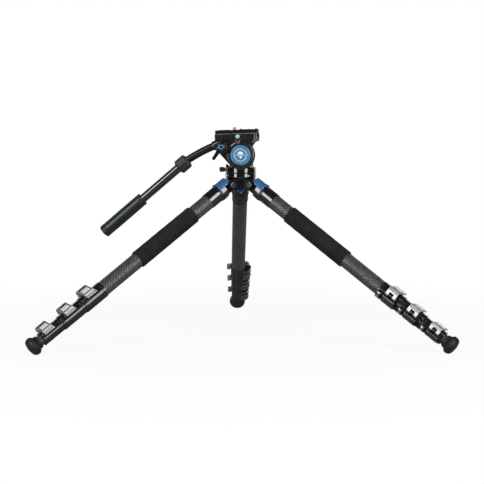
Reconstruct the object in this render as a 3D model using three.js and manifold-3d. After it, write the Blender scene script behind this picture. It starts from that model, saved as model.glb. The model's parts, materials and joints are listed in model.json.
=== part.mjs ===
// Four-section carbon tripod with a fluid head, standing at its low spread angle.
// Millimetres, +Z up. The floor is at z = 0 and the origin is the middle of the footprint.
// A leg frame has its origin on the leg hinge: +Z runs down the leg, +Y across it, and -X is
// the leg's upper side. The head frame has +X towards the lens and its origin on the pan axis.
import * as THREE from 'three';
import { mergeVertices } from 'three/addons/utils/BufferGeometryUtils.js';
import Module from 'manifold-3d';

const wasm = await Module();
wasm.setup();

const rad = THREE.MathUtils.degToRad;

// ---------------------------------------------------------------- driving dimensions

const GAP = 0.3;                        // clearance between separate pieces
const PAST = 1;                         // how far a cutter or a joined piece runs past a face
const FAR = 80;                         // long enough to cross any one piece
const SIDES = 16;                       // facets on a round leg part
const PIN_SIDES = 8;                    // on the thinnest pins
const HEAD_SIDES = 24;                  // and on the larger round head parts

// stance
const HINGE_HEIGHT = 300;               // leg hinges above the floor
const HINGE_RADIUS = 27;                // leg hinges from the pan axis
const SPREAD = rad(55.2);               // each leg from the vertical
const LEGS = { back: rad(90), left: rad(210), right: rad(330) };
const PAN_REST = rad(-6);               // how the head is turned on its base
const TILT_REST = rad(-2);              // nose slightly up

// leg casting and its angle lock: a tongue in the hub, a round body and a saddle over the tube
const TONGUE = { half: 10.5, radius: 11 };
const CASTING = { radius: 16, neck: 11.5, start: 13, socket: 33, end: 57.5, spigotEnd: 43 };
const BULGE = { radius: 17.5, foot: 15, slope: 4, top: 4 };
const SADDLE_EDGE = 3;                  // the saddle reaches this far below the tube's middle
const TAB = { start: 2, end: 28, inner: 15.2, outer: 17.5, half: rad(62), travel: 4 };
const TAB_LIP = { outer: 18.8, half: rad(43), length: 3 };
const PIN_RADIUS = 4;
const PIN_HEAD = { radius: 6.2, inner: 16.9, outer: 18.6 };

// telescoping leg sections, from the top one down: radii and where each starts and ends
const SECTIONS = [
  { outer: 14.75, inner: 13.3, start: CASTING.socket + GAP, end: 352 },
  { outer: 13.0, inner: 11.8, start: 44, end: 402 },
  { outer: 11.5, inner: 10.3, start: 47, end: 453 },
  { outer: 10.0, inner: 8.6, start: 50, end: 493 },
];
const FOAM_LEGS = ['left', 'right'];
const FOAM = { start: 98.5, end: 242, outer: 17, round: 1.2 };

// flip locks, one at the lower end of each of the upper three sections
const LOCKS = [
  { start: 331, end: 380.8, radius: 16 },
  { start: 381.2, end: 432.8, radius: 14.6 },
  { start: 433.2, end: 480, radius: 13.2 },
];
const LOCK_LUGS = [[3, 13], [17, 44]];  // clamp lugs, from the lock's upper end

// lock lever: a plate over the leg with a wall down its -Y side, forked over an ear on the collar
const LEVER = { middle: 29, length: 22, plate: 3, wall: 9.5, fork: 4.8 };
const PIVOT = { out: 5.5, up: 8, boss: 4.2, pin: 1.6 };

// rubber foot: radius and distance down the leg, from its collar to its dome
const FOOT_PROFILE = [
  [12.3, 485], [12.9, 490], [17.6, 495.5], [17.6, 500.5], [15.2, 505.8], [0, 509],
];

// hub, heights from the hinge plane
const HUB = { bottom: -10, top: 12, core: 24, rim: 28, rimHeight: 5 };
const LUG = { inner: 11, outer: 16.5, radius: 9.5 };
const STUD = { radius: 4.7, top: 20, head: 8.2, flute: 0.7, headHeight: 7.7 };

// fluid head, heights from the hinge plane
const BASE = { radius: 30, foot: 28, bottom: 12.4, chamfer: 0.8 };
const PAN_SEAM = 22.5;
const PAN_STEP = { height: 33.6, radius: 26.5, chamfer: 1.2 };
const PAN_TOP = { height: 36.7, radius: 25.5 };
const PAN_SPIGOT = { radius: 12, top: 30 };
const NECK = { rear: -20, front: 23, half: 24 };
const PAN_KNOB = { height: 29.5, radius: 4.8, inner: 30.6, outer: 41.6, stem: 3, tip: 19 };
const TILT_HEIGHT = 57.8;
const TILT_FORWARD = 2.8;               // tilt axis ahead of the pan axis

// tilting housing, heights from the tilt axis; the cheek on the handle side is the larger one
const DRUM = { radius: 22, half: 30 };
const CARTRIDGE_RADIUS = 15;
const AXLE_RADIUS = 8;
const CHEEK = { inner: 30.5, outer: 36 };
const HANDLE_CHEEK = { radius: 28.2, shoulder: rad(33) };
const REAR_CHEEK = { radius: 22, shoulder: rad(45) };
const CLAMP = { x: -35, z: 16.6, radius: 12, bolt: 4 };
const DECK = { rear: -48.8, front: 32.5, top: 42.5, bottom: 26.2, nose: 30.5, toe: 30 };
const DISC = { radius: 19.8, thick: 2.4, chamfer: 0.8 };
const RING = { inner: 21.3, outer: 26.2, proud: 1.5 };
const BUBBLE = { x: -4.6, z: 36.2, radius: 4.5, depth: 3, proud: 0.4 };

// camera plate with its dovetail, stops and screw
const PLATE = { rear: -48.8, front: 32.5, half: 27, thick: 6.4 };
const DOVETAIL = { top: 18, bottom: 21, depth: 7.4, play: 0.4, inset: 2 };
const LOCATING_PIN = { radius: 2, proud: 2.2 };
const FRONT_STOP = { from: 27.5, to: 32, half: 6, proud: 1.6 };
const SCREW = { x: -13, radius: 3.17, head: 7, headThick: 5, proud: 5.6, slot: 0.8, slotDepth: 1.2 };

// rear controls
const PLATE_KNOB = { x: 12, z: 33.5, radius: 9, stem: 3, tip: 27, face: 36.5, outer: 48 };
const TILT_KNOB = { radius: 14, face: 36.4, outer: 51 };
const KNOB_FLUTE = 0.09;                // depth of a knob's finger flutes, of its radius

// pan handle
const EYE = { inner: 36.4, outer: 51.3 };
const ARM_RADIUS = 7.25;
const ARM_BEND = [[-33, 26.5], [-49, 19.8], [-69, 11.6], [-87, 2.6]];
const HANDLE_Y = -(EYE.inner + EYE.outer) / 2;
const HANDLE_START = { x: -111.3, z: -13.3 };
const HANDLE_SLOPE = rad(38.35);
const ARM_LEAD = 13;                    // straight part of the arm before the handle tube
const ARM_ROD = { radius: 7, end: 140 };
const HANDLE_COLLAR = { radius: 14.5, half: 12, flute: 1, chamfer: 2.5 };
const CLAMP_LEVER = { hub: 8.5, reach: 29.5, root: 6.5, tip: 3.2, face: 51.7, outer: 57.5, angle: 234 };
const HANDLE_TUBE = { outer: 8.5, inner: 7.6, start: -9, end: 196 };
const GRIP = { start: 104, end: 206, radius: 12.5, chamfer: 1.2, round: 3 };

// ---------------------------------------------------------------- materials

function finish(colour, roughness, metalness) {
  return new THREE.MeshStandardMaterial({ color: colour, roughness, metalness });
}

const blackMetal = finish(0x101012, 0.25, 0.6);
const blueMetal = finish(0x3a6ea8, 0.3, 0.8);
const silver = finish(0xb4b6ba, 0.35, 0.9);
const steel = finish(0x8c8f94, 0.3, 1);
const carbon = finish(0x2c2d30, 0.4, 0.1);
const foam = finish(0x1c1c1d, 0.95, 0);
const rubber = finish(0x141516, 0.85, 0);
const vial = finish(0xa8dcd8, 0.1, 0);

// ---------------------------------------------------------------- solids

// A closed geometry as a manifold: shared corners merged, collapsed faces dropped, faces outward.
function solid(geometry) {
  const bare = geometry.clone();
  bare.deleteAttribute('normal');
  bare.deleteAttribute('uv');
  const merged = mergeVertices(bare, 1e-4);
  const position = merged.attributes.position;
  const corner = [new THREE.Vector3(), new THREE.Vector3(), new THREE.Vector3()];
  const faces = [];
  let volume = 0;
  for (let i = 0; i < merged.index.count; i += 3) {
    const face = [0, 1, 2].map((k) => merged.index.getX(i + k));
    if (new Set(face).size < 3) continue;
    face.forEach((vertex, k) => corner[k].fromBufferAttribute(position, vertex));
    volume += corner[0].dot(corner[1].clone().cross(corner[2]));
    faces.push(face);
  }
  const outward = volume > 0 ? faces : faces.map(([a, b, c]) => [a, c, b]);
  return new wasm.Manifold(new wasm.Mesh({
    numProp: 3,
    vertProperties: new Float32Array(position.array),
    triVerts: new Uint32Array(outward.flat()),
  }));
}

function join(...pieces) {
  return pieces.reduce((whole, piece) => whole.add(piece));
}

// A solid of revolution about Z from [radius, z] points, closed along the axis.
function turned(points, sides = SIDES) {
  const outline = points.map(([radius, z]) => new THREE.Vector2(radius, z));
  if (points[0][0] > 0) outline.unshift(new THREE.Vector2(0, points[0][1]));
  if (points.at(-1)[0] > 0) outline.push(new THREE.Vector2(0, points.at(-1)[1]));
  return solid(new THREE.LatheGeometry(outline, sides).rotateX(Math.PI / 2));
}

function bar(radius, from, to, sides = SIDES) {
  return turned([[radius, from], [radius, to]], sides);
}

function barX(radius, from, to, y, z, sides = SIDES) {
  return bar(radius, from, to, sides).rotate([0, 90, 0]).translate([0, y, z]);
}

function barY(radius, from, to, x, z, sides = SIDES) {
  return bar(radius, from, to, sides).rotate([-90, 0, 0]).translate([x, 0, z]);
}

function pipe(outer, inner, from, to, sides = SIDES) {
  return bar(outer, from, to, sides).subtract(bar(inner, from - PAST, to + PAST, sides));
}

function box([x0, x1], [y0, y1], [z0, z1]) {
  const shape = new THREE.BoxGeometry(x1 - x0, y1 - y0, z1 - z0);
  return solid(shape.translate((x0 + x1) / 2, (y0 + y1) / 2, (z0 + z1) / 2));
}

function extruded(shape, from, to, curveSegments = 6) {
  const options = { depth: to - from, bevelEnabled: false, curveSegments };
  return solid(new THREE.ExtrudeGeometry(shape, options).translate(0, 0, from));
}

// A prism down the leg from an outline of [across, up] points.
function legPrism(points, from, to) {
  const shape = new THREE.Shape(points.map(([across, up]) => new THREE.Vector2(-up, across)));
  return extruded(shape, from, to);
}

// Part of a ring centred on the leg's upper side.
function upperArc(inner, outer, half, from, to) {
  const shape = new THREE.Shape();
  shape.absarc(0, 0, outer, Math.PI - half, Math.PI + half, false);
  shape.absarc(0, 0, inner, Math.PI + half, Math.PI - half, true);
  return extruded(shape, from, to);
}

// A prism across the head from an outline in its X-Z plane.
function headPrism(shape, from, to) {
  return extruded(shape, -to, -from, 10).rotate([90, 0, 0]);
}

function outline(points) {
  return new THREE.Shape(points.map(([x, y]) => new THREE.Vector2(x, y)));
}

// A knob outline with shallow finger flutes.
function fluted(radius, depth, flutes) {
  const corners = [];
  for (let i = 0; i < flutes * 2; i += 1) {
    const angle = (i / flutes) * Math.PI;
    const reach = i % 2 === 0 ? radius : radius - depth;
    corners.push([reach * Math.cos(angle), reach * Math.sin(angle)]);
  }
  return outline(corners);
}

// ---------------------------------------------------------------- scene helpers

function meshOf(name, body, material) {
  const { vertProperties, triVerts } = body.getMesh();
  const geometry = new THREE.BufferGeometry();
  geometry.setAttribute('position', new THREE.BufferAttribute(new Float32Array(vertProperties), 3));
  geometry.setIndex(new THREE.BufferAttribute(new Uint32Array(triVerts), 1));
  geometry.computeVertexNormals();
  const mesh = new THREE.Mesh(geometry, material);
  mesh.name = name;
  return mesh;
}

// ---------------------------------------------------------------- leg pieces

function legCasting() {
  const tongue = join(
    barY(TONGUE.radius, -TONGUE.half, TONGUE.half, 0, 0),
    box([-TONGUE.radius, TONGUE.radius], [-TONGUE.half, TONGUE.half], [0, CASTING.start + 3 * PAST]),
  );
  const body = turned([[CASTING.neck, CASTING.start - PAST], [CASTING.radius, CASTING.start + 2],
    [CASTING.radius, CASTING.socket]]);
  const bulge = turned([[BULGE.foot, CASTING.start], [BULGE.radius, CASTING.start + BULGE.slope],
    [BULGE.radius, CASTING.socket - PAST - BULGE.slope], [BULGE.foot, CASTING.socket - PAST]])
    .intersect(box([BULGE.top, FAR], [-FAR, FAR], [0, FAR]));
  const saddle = pipe(CASTING.radius, SECTIONS[0].outer + GAP, CASTING.socket - PAST, CASTING.end)
    .intersect(box([-FAR, SADDLE_EDGE], [-FAR, FAR], [0, FAR]));
  const spigot = bar(SECTIONS[0].inner - GAP, CASTING.socket - PAST, CASTING.spigotEnd);
  const pin = barY(PIN_RADIUS, -PIN_HEAD.outer + PAST, PIN_HEAD.outer - PAST, 0, 0, PIN_SIDES);
  const heads = [[-PIN_HEAD.outer, -PIN_HEAD.inner], [PIN_HEAD.inner, PIN_HEAD.outer]]
    .map(([from, to]) => barY(PIN_HEAD.radius, from, to, 0, 0, 12));
  const bedEnd = TAB.end + TAB.travel + 2 * GAP;
  const tabBed = upperArc(TAB.inner - GAP, FAR, TAB.half + rad(2), -CASTING.start, bedEnd);
  return join(tongue, body, bulge).subtract(tabBed).add(join(saddle, spigot, pin, ...heads));
}

function angleLock() {
  const plate = upperArc(TAB.inner, TAB.outer, TAB.half, TAB.start, TAB.end);
  const lip = upperArc(TAB.inner, TAB_LIP.outer, TAB_LIP.half, TAB.end - TAB_LIP.length, TAB.end);
  const lugSweep = barY(LUG.radius + 2 * GAP, -LUG.outer - PAST, LUG.outer + PAST, 0, 0, 12);
  return plate.add(lip).subtract(lugSweep);
}

function foamGrip() {
  const { start, end, outer, round } = FOAM;
  const body = turned([[outer - round, start], [outer, start + round], [outer, end - round],
    [outer - round, end]]);
  return body.subtract(bar(SECTIONS[0].outer + GAP, start - PAST, end + PAST));
}

// Where a lock's lever hinges: beside the clamp lugs, on the leg's -Y side.
function leverPivot(lock) {
  return { across: -(lock.radius + PIVOT.out), up: PIVOT.up, along: lock.start + LEVER.middle };
}

// A bar down the leg about a lever's hinge line.
function pivotBar(pivot, radius, half, sides) {
  return bar(radius, pivot.along - half, pivot.along + half, sides).translate([-pivot.up, pivot.across, 0]);
}

function lockCollar(lock, upper, lower) {
  const r = lock.radius;
  const pivot = leverPivot(lock);
  const shell = bar(r, lock.start, lock.end);
  const lugOutline = [[-(r - 4), 3.3], [-(r + 11.5), 3.3], [-(r + 11.5), -4], [-(r + 7), -(r - 5)],
    [-(r + 1), -(r - 2.5)], [-(r - 6), -(r - 2)]];
  const lugs = LOCK_LUGS.map(([from, to]) => legPrism(lugOutline, lock.start + from, lock.start + to));
  const half = LEVER.fork - 0.4;
  const bossRadius = PIVOT.boss - GAP;
  const ear = join(
    pivotBar(pivot, bossRadius, half, PIN_SIDES),
    box([-pivot.up, 0], [pivot.across - bossRadius, -(r - 2)], [pivot.along - half, pivot.along + half]),
  ).subtract(pivotBar(pivot, PIVOT.pin + GAP, half + PAST, 6));
  const bores = join(
    bar(upper.outer + GAP, lock.start - PAST, upper.end + GAP),
    bar(lower.outer + GAP, lock.start, lock.end + PAST),
  );
  return join(shell, ...lugs, ear).subtract(bores);
}

function lockLever(lock) {
  const r = lock.radius;
  const pivot = leverPivot(lock);
  const half = LEVER.length / 2;
  const from = pivot.along - half;
  const to = pivot.along + half;
  const corner = new THREE.Vector2(-(r + 3.5), r + 7);
  const tip = new THREE.Vector2(r + 8, r - 0.6);
  const inward = tip.clone().sub(corner).normalize().multiplyScalar(LEVER.plate);
  const under = (point) => [point.x + inward.y, point.y - inward.x];
  const wallOuter = -(r + LEVER.wall);
  const wallInner = wallOuter + LEVER.plate;
  const plate = legPrism([
    [wallOuter, PIVOT.up], [wallOuter, r + 1], corner.toArray(), tip.toArray(),
    [tip.x + 1.2, tip.y - 1.8], under(tip), under(corner), [wallInner, r], [wallInner, PIVOT.up],
  ], from, to);
  const notch = box(
    [-(pivot.up + 6), 0],
    [wallOuter - LEVER.plate, -(r + 1)],
    [pivot.along - LEVER.fork, pivot.along + LEVER.fork],
  );
  return plate
    .add(pivotBar(pivot, PIVOT.boss, half, PIN_SIDES))
    .subtract(notch)
    .add(pivotBar(pivot, PIVOT.pin, half - PAST, 6));
}

function rubberFoot(floorCut) {
  const tube = SECTIONS[3];
  const bore = bar(tube.outer + GAP, FOOT_PROFILE[0][1] - PAST, tube.end + GAP);
  return turned(FOOT_PROFILE).subtract(bore).subtract(floorCut);
}

// ---------------------------------------------------------------- hub pieces

function hubSpider() {
  let hub = join(bar(HUB.core, HUB.bottom, HUB.top), bar(HUB.rim, HUB.top - HUB.rimHeight, HUB.top));
  const turns = Object.values(LEGS).map((azimuth) => [0, 0, THREE.MathUtils.radToDeg(azimuth)]);
  for (const turn of turns) {
    const arm = join(
      box([0, HINGE_RADIUS], [-LUG.outer, LUG.outer], [-LUG.radius, LUG.radius]),
      barY(LUG.radius, -LUG.outer, LUG.outer, HINGE_RADIUS, 0),
    );
    hub = hub.add(arm.rotate(turn));
  }
  for (const turn of turns) {
    const slotStart = HINGE_RADIUS - TONGUE.radius - 0.5;
    const cut = join(
      box([slotStart, FAR], [-LUG.inner, LUG.inner], [HUB.bottom - PAST, HUB.top + PAST]),
      barY(PIN_RADIUS + 2 * GAP, -LUG.outer - PAST, LUG.outer + PAST, HINGE_RADIUS, 0, PIN_SIDES),
    );
    hub = hub.subtract(cut.rotate(turn));
  }
  return hub.subtract(bar(STUD.radius + GAP, HUB.bottom - PAST, HUB.top + PAST));
}

function mountingStud() {
  const seat = HUB.bottom - GAP;
  const head = extruded(fluted(STUD.head, STUD.flute, 8), seat - STUD.headHeight, seat);
  return head.add(bar(STUD.radius, HUB.bottom - PAST, STUD.top));
}

// ---------------------------------------------------------------- head pieces

function panBase() {
  const { radius, foot, bottom, chamfer } = BASE;
  const body = turned([[foot, bottom], [radius, bottom + 1.5 * chamfer], [radius, PAN_SEAM - chamfer],
    [radius - chamfer, PAN_SEAM]], HEAD_SIDES);
  const spigot = bar(PAN_SPIGOT.radius, PAN_SEAM - PAST, PAN_SPIGOT.top);
  return body.add(spigot).subtract(bar(STUD.radius + GAP, bottom - PAST, STUD.top + 0.5));
}

function panBody() {
  const { radius, chamfer } = BASE;
  const bottom = PAN_SEAM + GAP;
  const disc = turned([[radius - chamfer, bottom], [radius, bottom + chamfer],
    [radius, PAN_STEP.height - PAN_STEP.chamfer], [radius - PAN_STEP.chamfer, PAN_STEP.height],
    [PAN_STEP.radius, PAN_STEP.height], [PAN_TOP.radius, PAN_TOP.height]], HEAD_SIDES);
  const drum = barY(DRUM.radius, -DRUM.half, DRUM.half, TILT_FORWARD, TILT_HEIGHT, HEAD_SIDES);
  const neckBottom = PAN_TOP.height - 3 * PAST;
  const neck = box([NECK.rear, NECK.front], [-NECK.half, NECK.half], [neckBottom, TILT_HEIGHT]);
  const spigotBore = bar(PAN_SPIGOT.radius + GAP, bottom - PAST, PAN_SPIGOT.top + GAP);
  const boreHalf = DRUM.half + PAST;
  const cartridgeBore = barY(CARTRIDGE_RADIUS + GAP, -boreHalf, boreHalf, TILT_FORWARD, TILT_HEIGHT);
  const knobBore = barX(PAN_KNOB.stem + GAP, -radius - PAST, PAST - PAN_KNOB.tip, 0, PAN_KNOB.height, 12);
  return join(disc, drum, neck).subtract(join(spigotBore, cartridgeBore, knobBore));
}

function panLockKnob() {
  const head = extruded(fluted(PAN_KNOB.radius, 0.1 * PAN_KNOB.radius, 8), PAN_KNOB.inner, PAN_KNOB.outer);
  const stem = bar(PAN_KNOB.stem, PAN_KNOB.tip, PAN_KNOB.inner + PAST, 12);
  return head.add(stem).rotate([0, -90, 0]).translate([0, 0, PAN_KNOB.height]);
}

function tiltAxle() {
  const cartridge = barY(CARTRIDGE_RADIUS, -DRUM.half + GAP, DRUM.half - GAP, 0, 0);
  return cartridge.add(barY(AXLE_RADIUS, -CHEEK.outer + GAP, CHEEK.outer - GAP, 0, 0));
}

function sideDisc() {
  const { radius, thick, chamfer } = DISC;
  const back = CHEEK.outer + GAP;
  const profile = [[radius, back], [radius, back + thick - chamfer], [radius - chamfer, back + thick]];
  return turned(profile, HEAD_SIDES).rotate([90, 0, 0]);
}

// The side outline of the tilting housing: the round cheek, the handle lobe and the deck.
function housingOutline(cheek) {
  const toClamp = Math.atan2(CLAMP.z, CLAMP.x);
  const distance = Math.hypot(CLAMP.x, CLAMP.z);
  const tangent = toClamp + Math.acos((cheek.radius - CLAMP.radius) / distance);
  const shape = new THREE.Shape();
  shape.moveTo(DECK.rear, DECK.top);
  shape.lineTo(DECK.front, DECK.top);
  shape.lineTo(DECK.front, DECK.nose);
  shape.absarc(0, 0, cheek.radius, cheek.shoulder, tangent - 2 * Math.PI, true);
  shape.absarc(CLAMP.x, CLAMP.z, CLAMP.radius, tangent, Math.PI, true);
  shape.lineTo(DECK.rear, DECK.bottom);
  return shape;
}

// The dovetail's outline across the head, grown by a clearance.
function dovetailOutline(play) {
  const { top, bottom, depth } = DOVETAIL;
  return outline([[-top - play, DECK.top + PAST], [-bottom - play, DECK.top - depth - play],
    [bottom + play, DECK.top - depth - play], [top + play, DECK.top + PAST]]);
}

function alongHead(shape, from, to) {
  return extruded(shape, from, to).rotate([90, 0, 0]).rotate([0, 0, 90]);
}

function tiltHousing() {
  const { inner, outer } = CHEEK;
  const deck = headPrism(outline([[DECK.rear, DECK.top], [DECK.rear, DECK.bottom], [DECK.toe, DECK.bottom],
    [DECK.front, DECK.nose], [DECK.front, DECK.top]]), -outer, outer);
  const handleCheek = headPrism(housingOutline(HANDLE_CHEEK), -outer, -inner);
  const rearCheek = headPrism(housingOutline(REAR_CHEEK), inner, outer);
  const ring = barY(RING.outer, -outer - RING.proud, -outer + PAST, 0, 0, HEAD_SIDES)
    .subtract(barY(RING.inner, -FAR, -outer, 0, 0, HEAD_SIDES));
  const channel = alongHead(dovetailOutline(DOVETAIL.play), -FAR, FAR);
  const axleBore = barY(AXLE_RADIUS + GAP, -FAR, FAR, 0, 0);
  const boltBore = barY(CLAMP.bolt + GAP, -FAR, 0, CLAMP.x, CLAMP.z, 12);
  const bubblePocket = barY(BUBBLE.radius + GAP, -FAR, BUBBLE.depth + GAP - outer, BUBBLE.x, BUBBLE.z);
  const knobBore = barY(PLATE_KNOB.stem + GAP, PLATE_KNOB.tip - 0.5, FAR, PLATE_KNOB.x, PLATE_KNOB.z, 12);
  return join(deck, handleCheek, rearCheek, ring)
    .subtract(join(channel, axleBore, boltBore, bubblePocket, knobBore));
}

// The camera plate: a flange over the deck and a dovetail in its channel.
function quickReleasePlate() {
  const seat = DECK.top + GAP;
  const top = seat + PLATE.thick;
  const flange = box([PLATE.rear, PLATE.front], [-PLATE.half, PLATE.half], [seat, top]);
  const dovetail = alongHead(dovetailOutline(0), PLATE.rear + DOVETAIL.inset, PLATE.front - DOVETAIL.inset);
  const locatingPin = bar(LOCATING_PIN.radius, top - PAST, top + LOCATING_PIN.proud, 12);
  const { from, to, half, proud } = FRONT_STOP;
  const frontStop = box([from, to], [-half, half], [top - PAST, top + proud]);
  const screwBore = bar(SCREW.radius + GAP, 0, FAR).translate([SCREW.x, 0, 0]);
  const headPocket = bar(SCREW.head + 0.5, 0, screwHead().top + 2 * GAP).translate([SCREW.x, 0, 0]);
  return join(flange, dovetail, locatingPin, frontStop).subtract(screwBore.add(headPocket));
}

// The heights between which the camera screw's head sits, inside the dovetail.
function screwHead() {
  const bottom = DECK.top - DOVETAIL.depth + GAP;
  return { bottom, top: bottom + SCREW.headThick };
}

function cameraScrew() {
  const { bottom, top } = screwHead();
  const head = bar(SCREW.head, bottom, top);
  const slot = box([-SCREW.slot, SCREW.slot], [-FAR, FAR], [0, bottom + SCREW.slotDepth]);
  const shank = bar(SCREW.radius, top - PAST, DECK.top + GAP + PLATE.thick + SCREW.proud);
  return head.subtract(slot).add(shank).translate([SCREW.x, 0, 0]);
}

function bubbleLevel() {
  return barY(BUBBLE.radius, -CHEEK.outer - BUBBLE.proud, BUBBLE.depth - CHEEK.outer, BUBBLE.x, BUBBLE.z);
}

// A fluted knob on the rear side, turning about the head's Y axis.
function rearKnob({ radius, face, outer }, x, z) {
  const shape = fluted(radius, radius * KNOB_FLUTE, 10);
  return extruded(shape, face, outer).rotate([-90, 0, 0]).translate([x, 0, z]);
}

function plateLockKnob() {
  const { x, z, stem, tip, face } = PLATE_KNOB;
  return rearKnob(PLATE_KNOB, x, z).add(barY(stem, tip, face + PAST, x, z, 12));
}

// ---------------------------------------------------------------- handle pieces

function handleClampLever() {
  const { hub, face, outer, reach, root, tip, angle } = CLAMP_LEVER;
  const boss = barY(hub, -outer, -face, 0, 0, 20);
  const bolt = barY(CLAMP.bolt, -face - PAST, -CHEEK.inner - GAP, 0, 0, 12);
  const shape = outline([[0, root], [reach - 2, tip], [reach, 0], [reach - 2, -tip], [0, -root]]);
  const arm = headPrism(shape, 0.8 - outer, -face).rotate([0, -angle, 0]);
  return join(boss, bolt, arm).translate([CLAMP.x, 0, CLAMP.z]);
}

// The direction down the handle, in the tilt frame.
function handleDirection() {
  return new THREE.Vector3(-Math.cos(HANDLE_SLOPE), 0, -Math.sin(HANDLE_SLOPE));
}

// The bent arm: a clamp eye, a curved tube, and the rod that the handle tube slides on.
function handleArm() {
  const eye = barY(CLAMP.radius, -EYE.outer, -EYE.inner, CLAMP.x, CLAMP.z, 20);
  const start = new THREE.Vector3(HANDLE_START.x, HANDLE_Y, HANDLE_START.z);
  const along = handleDirection();
  const stations = ARM_BEND.map(([x, z]) => new THREE.Vector3(x, HANDLE_Y, z));
  stations.push(start.clone().addScaledVector(along, -ARM_LEAD));
  stations.push(start.clone().addScaledVector(along, PAST));
  const section = new THREE.Shape().absarc(0, 0, ARM_RADIUS, 0, 2 * Math.PI);
  const tube = new THREE.ExtrudeGeometry(section, {
    steps: 10,
    curveSegments: 6,
    bevelEnabled: false,
    extrudePath: new THREE.CatmullRomCurve3(stations),
  });
  const rod = bar(ARM_ROD.radius, 0, ARM_ROD.end, 12)
    .rotate([0, THREE.MathUtils.radToDeg(Math.atan2(along.x, along.z)), 0])
    .translate(start.toArray());
  const boltBore = barY(CLAMP.bolt + GAP, -FAR, 0, CLAMP.x, CLAMP.z, 12);
  return join(eye, solid(tube), rod).subtract(boltBore);
}

function handleCollar() {
  const { radius, half, flute, chamfer } = HANDLE_COLLAR;
  const shoulder = half - chamfer;
  const knurled = extruded(fluted(radius, flute, 12), -shoulder, shoulder);
  const ends = turned([[radius - chamfer, -half], [radius - flute, -shoulder], [radius - flute, shoulder],
    [radius - chamfer, half]]);
  return knurled.add(ends).subtract(bar(HANDLE_TUBE.outer + GAP, -half - PAST, half + PAST));
}

function handleGrip() {
  const { start, end, radius, chamfer, round } = GRIP;
  const body = turned([[radius - chamfer, start], [radius, start + chamfer], [radius, end - round],
    [radius - round * 0.3, end - round * 0.3], [radius - round, end]]);
  return body.subtract(bar(HANDLE_TUBE.outer + GAP, start - PAST, HANDLE_TUBE.end + GAP));
}

// ---------------------------------------------------------------- assembly

function addLeg(tripod, side, azimuth) {
  const turn = new THREE.Group();
  turn.rotation.z = azimuth;
  tripod.add(turn);
  const frame = new THREE.Group();
  frame.position.set(HINGE_RADIUS, 0, HINGE_HEIGHT);
  frame.rotation.y = Math.PI - SPREAD;
  turn.add(frame);
  tripod.updateMatrixWorld(true);

  const reach = HINGE_RADIUS + SECTIONS[3].end * Math.sin(SPREAD);
  const underground = new THREE.BoxGeometry(4 * FAR, 4 * FAR, 2 * FAR).translate(reach, 0, -FAR);
  underground.applyMatrix4(new THREE.Matrix4().makeRotationZ(azimuth));
  const floorCut = solid(underground.applyMatrix4(frame.matrixWorld.clone().invert()));

  frame.add(meshOf(`${side}_leg_casting`, legCasting(), blackMetal));
  frame.add(meshOf(`${side}_angle_lock`, angleLock(), blueMetal));
  SECTIONS.forEach((section, i) => {
    const tube = pipe(section.outer, section.inner, section.start, section.end);
    frame.add(meshOf(`${side}_tube_${i + 1}`, tube, carbon));
  });
  if (FOAM_LEGS.includes(side)) {
    frame.add(meshOf(`${side}_foam_grip`, foamGrip(), foam));
  }
  LOCKS.forEach((lock, i) => {
    const collar = lockCollar(lock, SECTIONS[i], SECTIONS[i + 1]);
    frame.add(meshOf(`${side}_lock_collar_${i + 1}`, collar, blackMetal));
    frame.add(meshOf(`${side}_lock_lever_${i + 1}`, lockLever(lock), silver));
  });
  frame.add(meshOf(`${side}_foot`, rubberFoot(floorCut), rubber));
}

function addHead(tripod) {
  const head = new THREE.Group();
  head.position.z = HINGE_HEIGHT;
  head.rotation.z = PAN_REST;
  tripod.add(head);
  head.add(meshOf('pan_base', panBase(), blackMetal));
  head.add(meshOf('pan_body', panBody(), blackMetal));
  head.add(meshOf('pan_lock_knob', panLockKnob(), blackMetal));

  const axle = new THREE.Group();
  axle.position.set(TILT_FORWARD, 0, TILT_HEIGHT);
  head.add(axle);
  axle.add(meshOf('tilt_axle', tiltAxle(), steel));
  axle.add(meshOf('side_disc', sideDisc(), blueMetal));
  axle.add(meshOf('tilt_lock_knob', rearKnob(TILT_KNOB, 0, 0), rubber));

  const tilt = new THREE.Group();
  tilt.rotation.y = TILT_REST;
  axle.add(tilt);
  tilt.add(meshOf('tilt_housing', tiltHousing(), blackMetal));
  tilt.add(meshOf('bubble_level', bubbleLevel(), vial));
  tilt.add(meshOf('camera_plate', quickReleasePlate(), blackMetal));
  tilt.add(meshOf('camera_screw', cameraScrew(), steel));
  tilt.add(meshOf('plate_lock_knob', plateLockKnob(), blackMetal));
  tilt.add(meshOf('handle_clamp_lever', handleClampLever(), blackMetal));
  tilt.add(meshOf('handle_arm', handleArm(), blackMetal));

  const handle = new THREE.Group();
  const along = handleDirection();
  handle.position.set(HANDLE_START.x, HANDLE_Y, HANDLE_START.z);
  handle.rotation.y = Math.atan2(along.x, along.z);
  tilt.add(handle);
  const { outer, inner, start, end } = HANDLE_TUBE;
  handle.add(meshOf('handle_tube', pipe(outer, inner, start, end), blackMetal));
  handle.add(meshOf('handle_collar', handleCollar(), rubber));
  handle.add(meshOf('handle_grip', handleGrip(), rubber));
}

const tripod = new THREE.Group();
for (const [side, azimuth] of Object.entries(LEGS)) {
  addLeg(tripod, side, azimuth);
}
tripod.add(meshOf('hub_spider', hubSpider().translate([0, 0, HINGE_HEIGHT]), blackMetal));
tripod.add(meshOf('mounting_stud', mountingStud().translate([0, 0, HINGE_HEIGHT]), steel));
addHead(tripod);

// Put the origin under the middle of the outline.
const extent = new THREE.Box3().setFromObject(tripod, true);
const middle = extent.getCenter(new THREE.Vector3());
tripod.position.set(-middle.x, -middle.y, -extent.min.z);

export default tripod;
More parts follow.
